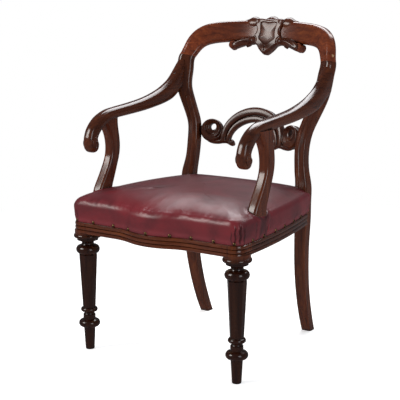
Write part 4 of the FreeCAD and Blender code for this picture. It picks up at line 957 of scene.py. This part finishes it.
STRIP_WIDTH = 0.05
STRIP_THICKNESS = 0.0016
STRIP_STATIONS = 120
STRIP_ROWS = 13
WEAVE_LIFT = 0.0009
WEAVE_REACH = 0.03
LONG_X = (-0.112, 0.0, 0.112)
CROSS_Y = [AXIS_Y + 0.145 + 0.095 * step for step in range(3)]
STRIP_LEVEL = RAIL_TOP + 0.002
HESSIAN_LEVEL = 0.40465
HESSIAN_THICKNESS = 0.0003


def woven_lift(place, crossings, index, lift):
    """Height of a strip that goes over one strip and under the next: a sum of bells."""
    height = np.zeros_like(place)
    for other, middle in enumerate(crossings):
        height += (lift if (index + other) % 2 else -lift) * bump(place, middle, WEAVE_REACH)
    return height


def strip(name, start, end, heights, material):
    """One length of webbing with its thickness; heights say how it passes over and under."""
    t = np.linspace(0, 1, STRIP_STATIONS)
    start, end = np.array(start), np.array(end)
    middle = start[None] * (1 - t[:, None]) + end[None] * t[:, None]
    direction = unit((end - start)[None])[0]
    side = np.array([-direction[1], direction[0], 0.0])
    middle[:, 2] += heights
    forth = np.linspace(-0.5, 0.5, STRIP_ROWS)
    across = np.concatenate([forth, -forth]) * STRIP_WIDTH
    up = np.repeat([STRIP_THICKNESS / 2, -STRIP_THICKNESS / 2], STRIP_ROWS)
    points = (middle[:, None, :] + side[None, None, :] * across[None, :, None]
              + np.array([0, 0, 1.0])[None, None, :] * up[None, :, None])
    made = add_mesh(name, [(points, False, True)], material)
    return made


def long_strips(material):
    """The strips from front to back; the middle one starts further forward."""
    low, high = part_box("webbing_front_to_back")
    t = np.linspace(0, 1, STRIP_STATIONS)
    made = []
    for index, x in enumerate(LONG_X):
        y0, y1 = low[1] + (0.002 if x == 0 else 0.019), high[1] - 0.001
        heights = woven_lift(y0 + (y1 - y0) * t, CROSS_Y, index, WEAVE_LIFT)
        made.append(strip("web_long_%d" % (index + 1), (x, y0, STRIP_LEVEL),
                          (x, y1, STRIP_LEVEL), heights, material))
    return made


def cross_strips(material):
    """The strips from side to side, as long as the seat is wide there."""
    outline = seat_outline(-0.0075, 0.0)
    half = outline[: len(outline) // 2]
    sides = half[half[:, 0] > 0.15]
    order = np.argsort(sides[:, 1])
    t = np.linspace(0, 1, STRIP_STATIONS)
    made = []
    for index, y in enumerate(CROSS_Y):
        back_edge = y + STRIP_WIDTH / 2
        reach = float(np.interp(back_edge, sides[order, 1], sides[order, 0])) - 0.001
        heights = woven_lift(reach * (2 * t - 1), LONG_X, index, -WEAVE_LIFT)
        made.append(strip("web_cross_%d" % (index + 1), (-reach, y, STRIP_LEVEL),
                          (reach, y, STRIP_LEVEL), heights, material))
    return made


def hessian_sheet(material):
    """The cloth over the webbing: rings of the seat outline, below and above its thickness."""
    outline = seat_outline(-0.010, 0.0)
    middle = np.array([0, outline[:, 1].mean()])
    under = np.stack([np.column_stack([middle + (outline - middle) * share,
                                       np.full(len(outline), HESSIAN_LEVEL)])
                      for share in (0.01, 0.2, 0.4, 0.6, 0.8, 1.0)])
    over = under[::-1] + np.array([0, 0, HESSIAN_THICKNESS])
    made = add_mesh("hessian_sheet", [(np.concatenate([under, over]), False, True)], material)
    return made


class ARMCHAIR_OT_webbing(bpy.types.Operator):
    """Weave the webbing under the seat and lay the hessian on it"""
    bl_idname = "armchair.webbing"
    bl_label = "Webbing"

    def execute(self, context):
        jute = woven("jute webbing", (0.34, 0.22, 0.11), (0.20, 0.12, 0.055), 160, 18)
        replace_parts(long_strips(jute)[0], "webbing_front_to_back")
        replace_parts(cross_strips(jute)[0], "webbing_side_to_side")
        cloth = woven("hessian", (0.42, 0.30, 0.16), (0.26, 0.17, 0.08), 260, 220)
        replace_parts(hessian_sheet(cloth), "hessian")
        return {"FINISHED"}


# The carved cross rail. Depths are backwards from the back surface.

ARCH_HALF_WIDTH, ARCH_HEIGHT, ARCH_FOOT = 0.092, 0.073, 0.549
ARCH_BAND = 0.0425
ARCH_STATIONS = 120
ARCH_FACE_STEPS, ARCH_BACK_STEPS = 41, 13
VOLUTE_MIDDLE = np.array([0.136, 0.571])
VOLUTE_EYE = np.array([0.133, 0.582])
VOLUTE_RADIUS, EYE_RADIUS = 0.034, 0.0098
VOLUTE_FACE_STEPS, VOLUTE_BACK_STEPS = 34, 10
FOOT_SCROLL = [(0.152, 0.548), (0.136, 0.5405), (0.116, 0.5395), (0.100, 0.5425),
               (0.088, 0.5415), (0.079, 0.5385), (0.0715, 0.5375), (0.0655, 0.5400)]
KNOB_X, KNOB_HEIGHT = 0.0705, 0.5385


def arch_patch(groove):
    """The arch: half an oval, with an outer and an inner half-round and a groove between."""
    angle = np.linspace(-0.10, math.pi + 0.10, ARCH_STATIONS)
    path = np.column_stack([ARCH_HALF_WIDTH * np.cos(angle),
                            ARCH_FOOT + ARCH_HEIGHT * np.sin(angle)])
    width = ARCH_BAND * (0.70 + 0.30 * np.clip(np.sin(angle), 0, 1))
    face = np.linspace(-0.5, 0.5, ARCH_FACE_STEPS)
    beads = np.maximum(0.0045 * half_round(face, 0.22, 0.29),
                       0.0035 * half_round(face, -0.29, 0.22))
    cut = bump(face, -0.075, 0.035)[None, :] * smooth(-0.02, 0.25, np.sin(angle) + 0.16)[:, None]
    relief = beads[None, :] - groove * cut
    back = np.linspace(0.5, -0.5, ARCH_BACK_STEPS)
    back_deep = 0.0065 + 0.006 * quarter_round((0.5 - np.abs(back)) / 0.12)
    section = np.concatenate([face, back])
    deep = np.concatenate([-0.0085 - relief,
                           np.broadcast_to(back_deep, (ARCH_STATIONS, ARCH_BACK_STEPS))], axis=1)
    return sweep_on_back(path, -section[None, :] * width[:, None], deep)


def volute_patch(sign):
    """The scroll at one end: a dished ring round an eye that goes right through.

    Each row runs from the eye to the rim, round it, and back to the eye behind. The rim is a
    circle round another middle than the eye, and a bead winds outwards across the dish.
    """
    turns = 128
    theta = full_turn(turns)
    direction = np.column_stack([np.cos(theta), np.sin(theta)])
    offset = VOLUTE_MIDDLE - VOLUTE_EYE
    along = direction @ offset
    reach = along + np.sqrt(along ** 2 - offset @ offset + VOLUTE_RADIUS ** 2)
    out = np.linspace(0, 1, VOLUTE_FACE_STEPS)
    home = np.linspace(1, 0, VOLUTE_BACK_STEPS)
    t = np.concatenate([out, np.ones(3), home, np.zeros(3)])
    r = EYE_RADIUS + (reach[:, None] - EYE_RADIUS) * t[None, :]
    wind = (theta / (2 * math.pi) + 0.30) % 1.0
    groove_at = (0.34 + 0.42 * wind)[:, None]
    # the dish deepens forward from the eye and turns back at the rim
    front = -0.0060 - 0.0070 * smooth(0.0, 0.55, out) + 0.0045 * smooth(0.80, 1.0, out) ** 2
    front = front + (0.0032 * bump(out[None, :], groove_at, 0.050)
                     * smooth(0.0, 0.1, wind)[:, None])
    front -= 0.0016 * bump(out[None, :], groove_at - 0.15, 0.075)
    # round the rim, over the back and through the eye
    around = np.concatenate([[-0.005, 0.0, 0.006], 0.0125 - 0.004 * smooth(0.8, 1.0, home),
                             [0.007, 0.001, -0.004]])
    deep = np.concatenate([front, np.broadcast_to(around, (turns, len(around)))], axis=1)
    x = VOLUTE_EYE[0] + r * direction[:, 0:1]
    z = VOLUTE_EYE[1] + r * direction[:, 1:2]
    normal = back_normals(*VOLUTE_MIDDLE)
    side = unit(np.cross(np.array([0, 0, 1.0]), normal))
    up = np.cross(normal, side)
    points = (back_points(*VOLUTE_MIDDLE) - (x - VOLUTE_MIDDLE[0])[..., None] * side
              + (z - VOLUTE_MIDDLE[1])[..., None] * up + normal * deep[..., None])
    return points * np.array([sign, 1, 1])


def foot_scroll(sign):
    """The limb from the bottom of a volute to the knob under the arch, and the knob."""
    count = 60
    path = curve_through(FOOT_SCROLL, count) * np.array([sign, 1])
    radii = np.interp(np.linspace(0, 1, count), [0, 0.2, 0.45, 0.6, 0.72, 0.86, 0.95, 1.0],
                      [0.004, 0.0075, 0.0085, 0.0070, 0.0075, 0.0102, 0.0098, 0.0085])
    return limb_on_back(path, round_ends(radii, 0.08)[:, None], np.full(count, -0.001), 1.15, 20)


def knob_eye(sign):
    """The small boss on the front of a knob: half a ball, flattened."""
    around = full_turn(24)
    steps = np.linspace(0, math.pi / 2, 8)[:, None]
    radius = 0.0042 * np.sin(steps)
    x = sign * KNOB_X + radius * np.cos(around)[None, :]
    z = KNOB_HEIGHT + radius * np.sin(around)[None, :]
    return back_points(x, z, -0.0125 - 0.0022 * np.cos(steps))


class ARMCHAIR_OT_cross_rail(bpy.types.Operator):
    """Carve the cross rail: a grooved arch between two pierced volutes"""
    bl_idname = "armchair.cross_rail"
    bl_label = "Cross rail"

    def execute(self, context):
        patches = [(arch_patch(context.scene.armchair_carving.groove), False, True)]
        for _, sign in SIDES:
            patches.append((volute_patch(sign), True, True))
            patches.append((foot_scroll(sign), False, True))
            patches.append((knob_eye(sign), False, True))
        material = carved_material(context.scene.armchair_finish)
        piece = add_mesh("cross_rail_carved", patches, material)
        fix_normals(piece)
        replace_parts(piece, "cross_rail")
        return {"FINISHED"}


# The carving on the crest rail: (x, z) from the top middle to the bottom middle

SHIELD_EDGE = [(0, 0.8905), (0.024, 0.8925), (0.042, 0.8925), (0.0495, 0.8880), (0.0450, 0.8760),
               (0.0395, 0.8630), (0.0410, 0.8500), (0.0480, 0.8400), (0.0550, 0.8330),
               (0.0560, 0.8262), (0.0505, 0.8210), (0.0400, 0.8190), (0.0310, 0.8150),
               (0.0200, 0.8030), (0.0080, 0.7935), (0, 0.7895)]
FIELD_EDGE = [(0, 0.8800), (0.0130, 0.8822), (0.0245, 0.8815), (0.0275, 0.8760), (0.0250, 0.8650),
              (0.0240, 0.8520), (0.0262, 0.8400), (0.0258, 0.8345), (0.0180, 0.8285),
              (0.0080, 0.8215), (0, 0.8188)]
SHIELD_MIDDLE = 0.852
SHIELD_FACE, SHIELD_ROUNDING = 0.0215, 0.0055
SHIELD_RIM = 0.007
FIELD_WALL = 0.0011
LEAST_RIM = 0.004
RIDGE_Z = 0.806
LUG_X, LUG_Z, LUG_REACH = 0.0475, 0.8285, 0.0072
EAR_X, EAR_Z, EAR_REACH = 0.0400, 0.8845, 0.0080
SLIT_HALF_WIDTH, SLIT_DEPTH = 0.0013, 0.0034
SLIT_FOOT, SLIT_TOP = (0.7985, 0.8005), (0.8125, 0.8145)
LOBES = ((-0.060, 0.0098, 0.018), (0.0, 0.0118, 0.01944), (0.060, 0.0098, 0.018))
LOBES_REACH = 0.0905
LOBES_FOOT, LOBES_TOP = 0.882, 0.8925
LEAF = [(0.040, 0.8300), (0.058, 0.8300), (0.074, 0.8290), (0.090, 0.8250),
        (0.103, 0.8195), (0.1110, 0.8178), (0.1150, 0.8178)]
LEAFLET = [(0.050, 0.8320), (0.060, 0.8260), (0.0670, 0.8190), (0.0700, 0.8125)]


def polar_outline(half, middle, angles):
    """Distance from the middle to a smooth closed outline at each angle.

    half lists the outline's left side from the top middle to the bottom middle.
    """
    half = np.array(half)
    points = np.vstack([half, half[-2:0:-1] * np.array([-1, 1])])
    away = spline(np.vstack([points[-1:], points, points[:2]]), 1200) - middle
    angle = np.arctan2(away[:, 1], away[:, 0]) % (2 * math.pi)
    order = np.argsort(angle)
    reach = np.hypot(away[:, 0], away[:, 1])
    return np.interp(angles % (2 * math.pi), angle[order], reach[order], period=2 * math.pi)


def shield_patch(field_depth):
    """The shield: a sunk, dished field in a rounded frame, with lugs and a slit over the tip.

    Rays run from its middle over the field, the field's wall and the frame, then down the side.
    The relief is a sum of quarter circles and bells.
    """
    turns = 360
    angles = full_turn(turns)
    middle = np.array([0, SHIELD_MIDDLE])
    outer = polar_outline(SHIELD_EDGE, middle, angles)[:, None]
    inner = polar_outline(FIELD_EDGE, middle, angles)[:, None]
    inner = np.minimum(inner, outer - LEAST_RIM)
    field, wall, rim = (np.linspace(0.02, 1, 16), np.linspace(0, 1, 4)[1:],
                        np.linspace(0, 1, 26)[1:])
    radii = np.concatenate([inner * field, inner + FIELD_WALL * wall,
                            inner + FIELD_WALL + (outer - inner - FIELD_WALL) * rim], axis=1)
    x = radii * np.cos(angles)[:, None]
    z = SHIELD_MIDDLE + radii * np.sin(angles)[:, None]
    rounded = quarter_round((outer - radii) / SHIELD_RIM)
    front = SHIELD_FACE + SHIELD_ROUNDING * rounded
    front += 0.0030 * bump(z, 0.800, 0.016) * rounded
    front += 0.0022 * bump(x, 0, 0.012) * bump(z, RIDGE_Z, 0.011)
    for _, sign in SIDES:
        lug = np.hypot(x - sign * LUG_X, z - LUG_Z)
        front += 0.0030 * bump(lug, 0, LUG_REACH) * rounded
        front -= 0.0016 * bump(lug, 0.0125, 0.0022) * rounded * (np.abs(x) < 0.05)
        ear = np.hypot(x - sign * EAR_X, z - EAR_Z)
        front += 0.0022 * bump(ear, 0, EAR_REACH) * rounded
    inside = np.concatenate([np.ones(len(field)), 1 - wall, np.zeros(len(rim))])
    dish = 1 + 0.8 * (1 - np.clip(radii / inner, 0, 1) ** 2)
    front -= field_depth * inside[None, :] * dish
    front -= SLIT_DEPTH * (bump(x, 0, SLIT_HALF_WIDTH) * smooth(*SLIT_FOOT, z)
                           * (1 - smooth(*SLIT_TOP, z)))
    sides = np.array([0.019, 0.015, 0.008, 0.0])
    side_radii = outer - np.array([0.0, 0.0005, 0.0016, 0.0030])
    x = np.concatenate([x, side_radii * np.cos(angles)[:, None]], axis=1)
    z = np.concatenate([z, SHIELD_MIDDLE + side_radii * np.sin(angles)[:, None]], axis=1)
    deep = np.concatenate([front, np.broadcast_to(sides, (turns, len(sides)))], axis=1)
    points = back_points(np.zeros_like(x), z, -deep)
    points[..., 0] = x
    points[..., 1] += 0.06 * np.abs(x) ** 1.6
    return points


def cresting_patch():
    """Three rolled lobes along the top of the crest rail: an oval roll with a bell at each."""
    x = np.linspace(-0.090, 0.090, 240)
    around = full_turn(40)
    height = sum(tall * bump(x, middle, wide) for middle, tall, wide in LOBES)
    end = np.clip(1 - (np.abs(x) / LOBES_REACH) ** 8, 0.02, 1)
    tall = (LOBES_TOP + height * end - LOBES_FOOT)[:, None]
    z = LOBES_FOOT + tall * np.sin(around)[None, :]
    deep = 0.0185 * end[:, None] * np.cos(around)[None, :] - 0.0020
    return back_points(np.broadcast_to(x[:, None], z.shape), z, deep)


def leaf_limb(sign):
    """The leaf from a lug of the shield under the rail to its rolled tip, faintly fluted."""
    count, segments = 80, 32
    path = curve_through(LEAF, count) * np.array([sign, 1])
    share = np.linspace(0, 1, count)
    radii = round_ends(np.interp(share, [0, 0.2, 0.45, 0.7, 0.82, 0.93, 1.0],
                                 [0.010, 0.0125, 0.0125, 0.0115, 0.0120, 0.0137, 0.0132]), 0.07)
    deeps = np.interp(share, [0, 0.3, 0.7, 1.0], [-0.010, -0.009, -0.006, -0.001])
    share = share[:, None]
    vein = 1 + 0.10 * np.cos(full_turn(segments) * 5 + share * 6.0) * bump(share, 0.45, 0.35)
    return limb_on_back(path, radii[:, None] * vein, deeps, 1.25, segments)


def leaflet(sign):
    """A small pointed leaf with a middle vein, under the limb."""
    count, segments = 40, 20
    path = curve_through(LEAFLET, count) * np.array([sign, 1])
    share = np.linspace(0, 1, count)
    radii = 0.0085 * np.sin(np.clip(share * 0.86 + 0.10, 0, 1) * math.pi) ** 0.75
    ridge = 1 - 0.30 * bump(np.sin(full_turn(segments)), -1, 0.12)
    return limb_on_back(path, radii[:, None], np.full(count, -0.007), 0.85 * ridge, segments)


class ARMCHAIR_OT_crest(bpy.types.Operator):
    """Carve the shield, the cresting and the leaves of the crest rail"""
    bl_idname = "armchair.crest"
    bl_label = "Crest carving"

    def execute(self, context):
        material = carved_material(context.scene.armchair_finish)
        shield = shield_patch(context.scene.armchair_carving.shield_field)
        piece = add_mesh("crest_shield", [(shield, True, False)], material)
        fix_normals(piece)
        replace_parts(piece, "crest_carving")
        patches = [(cresting_patch(), False, True)]
        for _, sign in SIDES:
            patches += [(leaf_limb(sign), False, True), (leaflet(sign), False, True)]
        fix_normals(add_mesh("crest_leaves", patches, material))
        return {"FINISHED"}


# The arms, smooth from the stile to the rolled end. y is measured from the front leg axes.

ARM_X = 0.2455
ARM_WIDTH = 0.0335
ARM_SQUARENESS = 2.6
ARM_LOW, ARM_RISE, ARM_DROP = 0.651, 0.087, 0.078
ROLL_Y, ROLL_Z = 0.027, 0.573
# from the rolled end: y, z, height of the section and its pitch in degrees
ARM_STATIONS = [
    (ROLL_Y + 0.0010, ROLL_Z - 0.0218, 0.0060, 90),
    (ROLL_Y + 0.0010, ROLL_Z - 0.0205, 0.0165, 90),
    (ROLL_Y + 0.0008, ROLL_Z - 0.0180, 0.0260, 90),
    (ROLL_Y + 0.0005, ROLL_Z - 0.0140, 0.0345, 90),
    (ROLL_Y, ROLL_Z - 0.0080, 0.0415, 90),
    (ROLL_Y - 0.0002, ROLL_Z, 0.0444, 90),
    (ROLL_Y - 0.0020, ROLL_Z + ARM_DROP * 0.12, 0.0408, 88),
    (ROLL_Y - 0.0010, ROLL_Z + ARM_DROP * 0.26, 0.0385, 80),
    (ROLL_Y + 0.0090, ROLL_Z + ARM_DROP * 0.49, 0.0395, 61),
    (ROLL_Y + 0.032, ROLL_Z + ARM_DROP * 0.75, 0.037, 40),
    (ROLL_Y + 0.066, ARM_LOW - 0.0055, 0.033, 18),
    (ROLL_Y + 0.103, ARM_LOW, 0.031, 4),
    (0.190, ARM_LOW + ARM_RISE * 0.05, 0.0325, 3),
    (0.250, ARM_LOW + ARM_RISE * 0.11, 0.0355, 4),
    (0.300, ARM_LOW + ARM_RISE * 0.195, 0.040, 6),
    (0.345, ARM_LOW + ARM_RISE * 0.305, 0.047, 6),
    (0.385, ARM_LOW + ARM_RISE * 0.46, 0.057, 4),
    (0.408, ARM_LOW + ARM_RISE * 0.615, 0.065, 2),
    (0.430, ARM_LOW + ARM_RISE * 0.82, 0.075, 0),
    (0.456, ARM_LOW + ARM_RISE * 1.03, 0.090, 0),
]
# how wide the rolled end is at each height, as a share of the arm
ROLL_DOME = [(0.5510, 0.34), (0.5520, 0.58), (0.5540, 0.76), (0.5570, 0.88),
             (0.5610, 0.95), (0.5660, 0.99), (0.5730, 1.0)]
ROLL_REACH = 0.04
CURL_MIDDLE = (0.0285, 0.5750)


def arm_patch(sign):
    """An arm: ovals with squared shoulders along a curve, closer together at the rolled end.

    Across and up, the section is the cosine and the sine to the power of 2 over its squareness.
    """
    fine, steps = 400, 4000
    picked = np.concatenate([np.linspace(0, fine, 81), np.linspace(fine, steps, 161)[1:]])
    y, z, height, pitch = curve_through(ARM_STATIONS, steps + 1)[picked.astype(int)].T
    share = picked / steps
    end = np.maximum(quarter_round(np.minimum(share, 1 - share) / 0.003), 0.01)
    around = full_turn(64)
    across, up = (np.sign(v) * np.abs(v) ** (2 / ARM_SQUARENESS)
                  for v in (np.cos(around), np.sin(around)))
    dome = np.where(y < ROLL_REACH, np.interp(z, *zip(*ROLL_DOME)), 1.0)
    tall = (height / 2 * end)[:, None] * up[None, :]
    wide = (ARM_WIDTH / 2 * dome * end)[:, None] * across[None, :]
    pitch = np.radians(pitch)[:, None]
    return np.stack([sign * (ARM_X + wide), AXIS_Y + y[:, None] - np.sin(pitch) * tall,
                     z[:, None] + np.cos(pitch) * tall], axis=-1)


def curl_patch(sign, face):
    """The shallow spiral bead on one face of a rolled end: its radius shrinks with the angle."""
    turn = np.linspace(0.4 * math.pi, 2.5 * math.pi, 90)
    reach = np.interp(turn, [turn[0], turn[-1]], [0.0185, 0.0045])
    thick = np.interp(turn, [turn[0], turn[0] + 0.6, turn[-1]], [0.0003, 0.0020, 0.0026])[:, None]
    around = full_turn(12)
    away = reach[:, None] + thick * np.cos(around)[None, :]
    y = AXIS_Y + CURL_MIDDLE[0] + away * np.cos(turn)[:, None]
    z = CURL_MIDDLE[1] + away * np.sin(turn)[:, None]
    x = ARM_X + face * (ARM_WIDTH / 2 - 0.0003 + 0.6 * thick * np.sin(around)[None, :])
    return np.stack([sign * x, y, z], axis=-1)


class ARMCHAIR_OT_arms(bpy.types.Operator):
    """Shape the arms, rounded all along and rolled at their ends"""
    bl_idname = "armchair.arms"
    bl_label = "Arms"

    def execute(self, context):
        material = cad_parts["arm_left"].data.materials[0]
        for name, sign in SIDES:
            patches = [(arm_patch(sign), False, True)]
            patches += [(curl_patch(sign, face), False, True) for face in (-1, 1)]
            piece = add_mesh("arm_shaped_" + name, patches, material)
            fix_normals(piece)
            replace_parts(piece, "arm_" + name)
        return {"FINISHED"}


# The carved beads on the fronts of the stiles

# (height, x) of the middle of the left stile
STILE = np.array([(0.399, 0.195), (0.441, 0.195), (0.483, 0.1882), (0.535, 0.184),
                  (0.5577, 0.1845), (0.5930, 0.1894), (0.6270, 0.2024), (0.6620, 0.2180),
                  (0.6930, 0.2304)])
BEAD_FOOT, BEAD_TOP = 0.425, 0.672
BEAD_SMOOTHING = 9


def lappet_patch(sign, height):
    """A raised half-round bead with a rounded top, from the seat up the stile."""
    z = np.linspace(BEAD_FOOT, BEAD_TOP, 110)
    x = np.interp(z, STILE[:, 0], STILE[:, 1]) - 0.0030
    kernel = np.ones(BEAD_SMOOTHING) / BEAD_SMOOTHING
    x = np.convolve(np.pad(x, BEAD_SMOOTHING // 2, mode="edge"), kernel, mode="valid")
    cap = quarter_round((1 - np.linspace(0, 1, len(z))) / 0.045)
    half = np.interp(z, [BEAD_FOOT, 0.535, 0.60, BEAD_TOP], [0.0100, 0.0088, 0.0092, 0.0098])
    half = half * cap + 1e-5
    across = np.linspace(-1, 1, 25)
    rise = half_round(across, 0, 1) ** 0.9
    depth = -0.0150 - (height + 0.0016) * rise[None, :] * cap[:, None]
    path = np.column_stack([sign * x, z])
    return sweep_on_back(path, half[:, None] * across[None, :], depth)


class ARMCHAIR_OT_lappets(bpy.types.Operator):
    """Carve the beads on the fronts of the stiles"""
    bl_idname = "armchair.lappets"
    bl_label = "Stile beads"

    def execute(self, context):
        look = context.scene.armchair_finish
        material = mahogany("mahogany bead", "z", wood_colours(look, (1.0, 0.85, 0.85)),
                            look.wood_gloss, 12.0)
        height = context.scene.armchair_carving.lappet
        for name, sign in SIDES:
            fix_normals(add_mesh("stile_bead_" + name,
                                 [(lappet_patch(sign, height), False, False)], material))
        return {"FINISHED"}


# Stage, lights and camera

CAMERA = {"x": 1.703, "y": -2.293, "z": 1.027, "azimuth": 34.435, "elevation": 11.417,
          "roll": -0.134, "lens": 100.61}
SENSOR_WIDTH = 36
FLOOR_HALF = 60
# name, place, where it points, width, height, power and colour
LIGHTS = (
    ("key", (-1.9, -2.6, 2.3), (0, 0, 0.5), 1.5, 1.5, 78, (1.0, 0.97, 0.93)),
    ("fill", (2.8, -1.4, 1.5), (0, 0, 0.5), 1.2, 1.8, 26, (0.95, 0.97, 1.0)),
    ("top", (-0.3, 1.6, 2.6), (0, 0.05, 0.45), 2.4, 1.2, 62, (0.97, 0.98, 1.0)),
)


def light_world(scene):
    """A pale room: white where the camera sees it, dimmer where polish mirrors it."""
    world = bpy.data.worlds.new("Studio")
    scene.world = world
    world.use_nodes = True
    tree = world.node_tree
    tree.nodes.clear()
    room, dim, white = (
        node(tree, "ShaderNodeBackground", Color=(*colour, 1), Strength=strength).outputs[0]
        for colour, strength in (((0.62, 0.64, 0.67), 0.7), ((0.30, 0.31, 0.33), 0.35),
                                 (WHOLE, 1.0)))
    rays = tree.nodes.new("ShaderNodeLightPath").outputs
    softer = mix_shaders(tree, rays["Is Glossy Ray"], room, dim)
    output = tree.nodes.new("ShaderNodeOutputWorld")
    tree.links.new(mix_shaders(tree, rays["Is Camera Ray"], softer, white),
                   output.inputs["Surface"])


def whiten_far(tree, shader):
    """Let the floor run out to plain white, and keep it dim where polish mirrors it."""
    reach = node(tree, "ShaderNodeVectorMath", operation="LENGTH")
    tree.links.new(mapped(tree, (0.25, 0.25, 0.25)), reach.inputs[0])
    fade = ramp(tree, reach.outputs["Value"], [(0.12, grey(0.0)), (0.5, grey(1.0))])
    white, dim = (node(tree, "ShaderNodeEmission", Color=(*colour, 1), Strength=1.0).outputs[0]
                  for colour in (WHOLE, (0.16, 0.16, 0.17)))
    far = mix_shaders(tree, fade, shader.outputs["BSDF"], white)
    rays = tree.nodes.new("ShaderNodeLightPath").outputs
    output = next(one for one in tree.nodes if one.type == "OUTPUT_MATERIAL")
    tree.links.new(mix_shaders(tree, rays["Is Glossy Ray"], far, dim), output.inputs["Surface"])


def lay_floor(scene):
    """A wide, pale floor."""
    corners = [(x, y, 0.0) for x in (-FLOOR_HALF, FLOOR_HALF) for y in (-FLOOR_HALF, FLOOR_HALF)]
    mesh = bpy.data.meshes.new("floor")
    mesh.from_pydata(corners, [], [(0, 2, 3, 1)])
    floor = bpy.data.objects.new("floor", mesh)
    scene.collection.objects.link(floor)
    material, tree, shader = new_material("pale floor")
    mottle = noise(tree, mapped(tree), Scale=1.2, Detail=2.0)
    shade = ramp(tree, mottle, [(0.0, grey(0.93)), (1.0, grey(0.96))])
    tree.links.new(shade, shader.inputs["Base Color"])
    tree.links.new(shade, shader.inputs["Emission Color"])
    set_sockets(shader, Roughness=0.8, Specular_IOR_Level=0.1, Emission_Strength=0.45)
    whiten_far(tree, shader)
    mesh.materials.append(material)


def area_light(scene, name, place, target, width, height, power, colour):
    """A rectangular lamp that points at its target."""
    data = bpy.data.lights.new(name, "AREA")
    data.shape = "RECTANGLE"
    data.size = width
    data.size_y = height
    data.energy = power
    data.color = colour
    lamp = bpy.data.objects.new(name, data)
    lamp.location = place
    lamp.rotation_mode = "QUATERNION"
    lamp.rotation_quaternion = (Vector(target) - Vector(place)).to_track_quat("-Z", "Y")
    scene.collection.objects.link(lamp)


def place_camera(scene):
    """The camera at the photo's angle, turned by its azimuth, elevation and roll."""
    data = bpy.data.cameras.new("Camera")
    camera = bpy.data.objects.new("Camera", data)
    data.sensor_width = SENSOR_WIDTH
    data.lens = CAMERA["lens"]
    azimuth, elevation, roll = (math.radians(CAMERA[one])
                                for one in ("azimuth", "elevation", "roll"))
    back = Vector((math.sin(azimuth) * math.cos(elevation),
                   -math.cos(azimuth) * math.cos(elevation), math.sin(elevation)))
    camera.location = (CAMERA["x"], CAMERA["y"] + AXIS_Y, CAMERA["z"])
    camera.rotation_mode = "QUATERNION"
    camera.rotation_quaternion = ((-back).to_track_quat("-Z", "Y")
                                  @ Quaternion((0, 0, 1), roll))
    scene.collection.objects.link(camera)
    scene.camera = camera


class ARMCHAIR_OT_stage(bpy.types.Operator):
    """Set the floor, the lights, the white surround and the camera"""
    bl_idname = "armchair.stage"
    bl_label = "Stage"

    def execute(self, context):
        scene = context.scene
        scene.view_settings.view_transform = "Standard"
        light_world(scene)
        lay_floor(scene)
        for light in LIGHTS:
            area_light(scene, *light)
        place_camera(scene)
        return {"FINISHED"}


class ARMCHAIR_PT_panel(bpy.types.Panel):
    """The armchair's sizes, colours and steps"""
    bl_label = "Balloon Back Armchair"
    bl_idname = "ARMCHAIR_PT_panel"
    bl_space_type = "VIEW_3D"
    bl_region_type = "UI"
    bl_category = "Armchair"

    def draw(self, context):
        for name in GROUPS:
            box = self.layout.box()
            group = getattr(context.scene, name)
            for size in group.__annotations__:
                box.prop(group, size)
        for operator in OPERATORS:
            self.layout.operator(operator.bl_idname)


GROUPS = {"armchair_finish": ArmchairFinish, "armchair_seat": ArmchairSeat,
          "armchair_carving": ArmchairCarving}
OPERATORS = (ARMCHAIR_OT_wood, ARMCHAIR_OT_metal, ARMCHAIR_OT_seat, ARMCHAIR_OT_webbing,
             ARMCHAIR_OT_cross_rail, ARMCHAIR_OT_crest, ARMCHAIR_OT_arms, ARMCHAIR_OT_lappets,
             ARMCHAIR_OT_stage)


def register():
    """Add the chair's sizes, steps and panel."""
    for cls in (*GROUPS.values(), *OPERATORS, ARMCHAIR_PT_panel):
        bpy.utils.register_class(cls)
    for name, group in GROUPS.items():
        setattr(bpy.types.Scene, name, PointerProperty(type=group))


def unregister():
    """Take them away again."""
    for name in GROUPS:
        delattr(bpy.types.Scene, name)
    for cls in reversed((*GROUPS.values(), *OPERATORS, ARMCHAIR_PT_panel)):
        bpy.utils.unregister_class(cls)


def main():
    """Dress the chair."""
    register()
    bpy.ops.armchair.wood()
    bpy.ops.armchair.metal()
    bpy.ops.armchair.seat()
    bpy.ops.armchair.webbing()
    bpy.ops.armchair.cross_rail()
    bpy.ops.armchair.crest()
    bpy.ops.armchair.arms()
    bpy.ops.armchair.lappets()
    bpy.ops.armchair.stage()


if __name__ == "__main__":
    main()
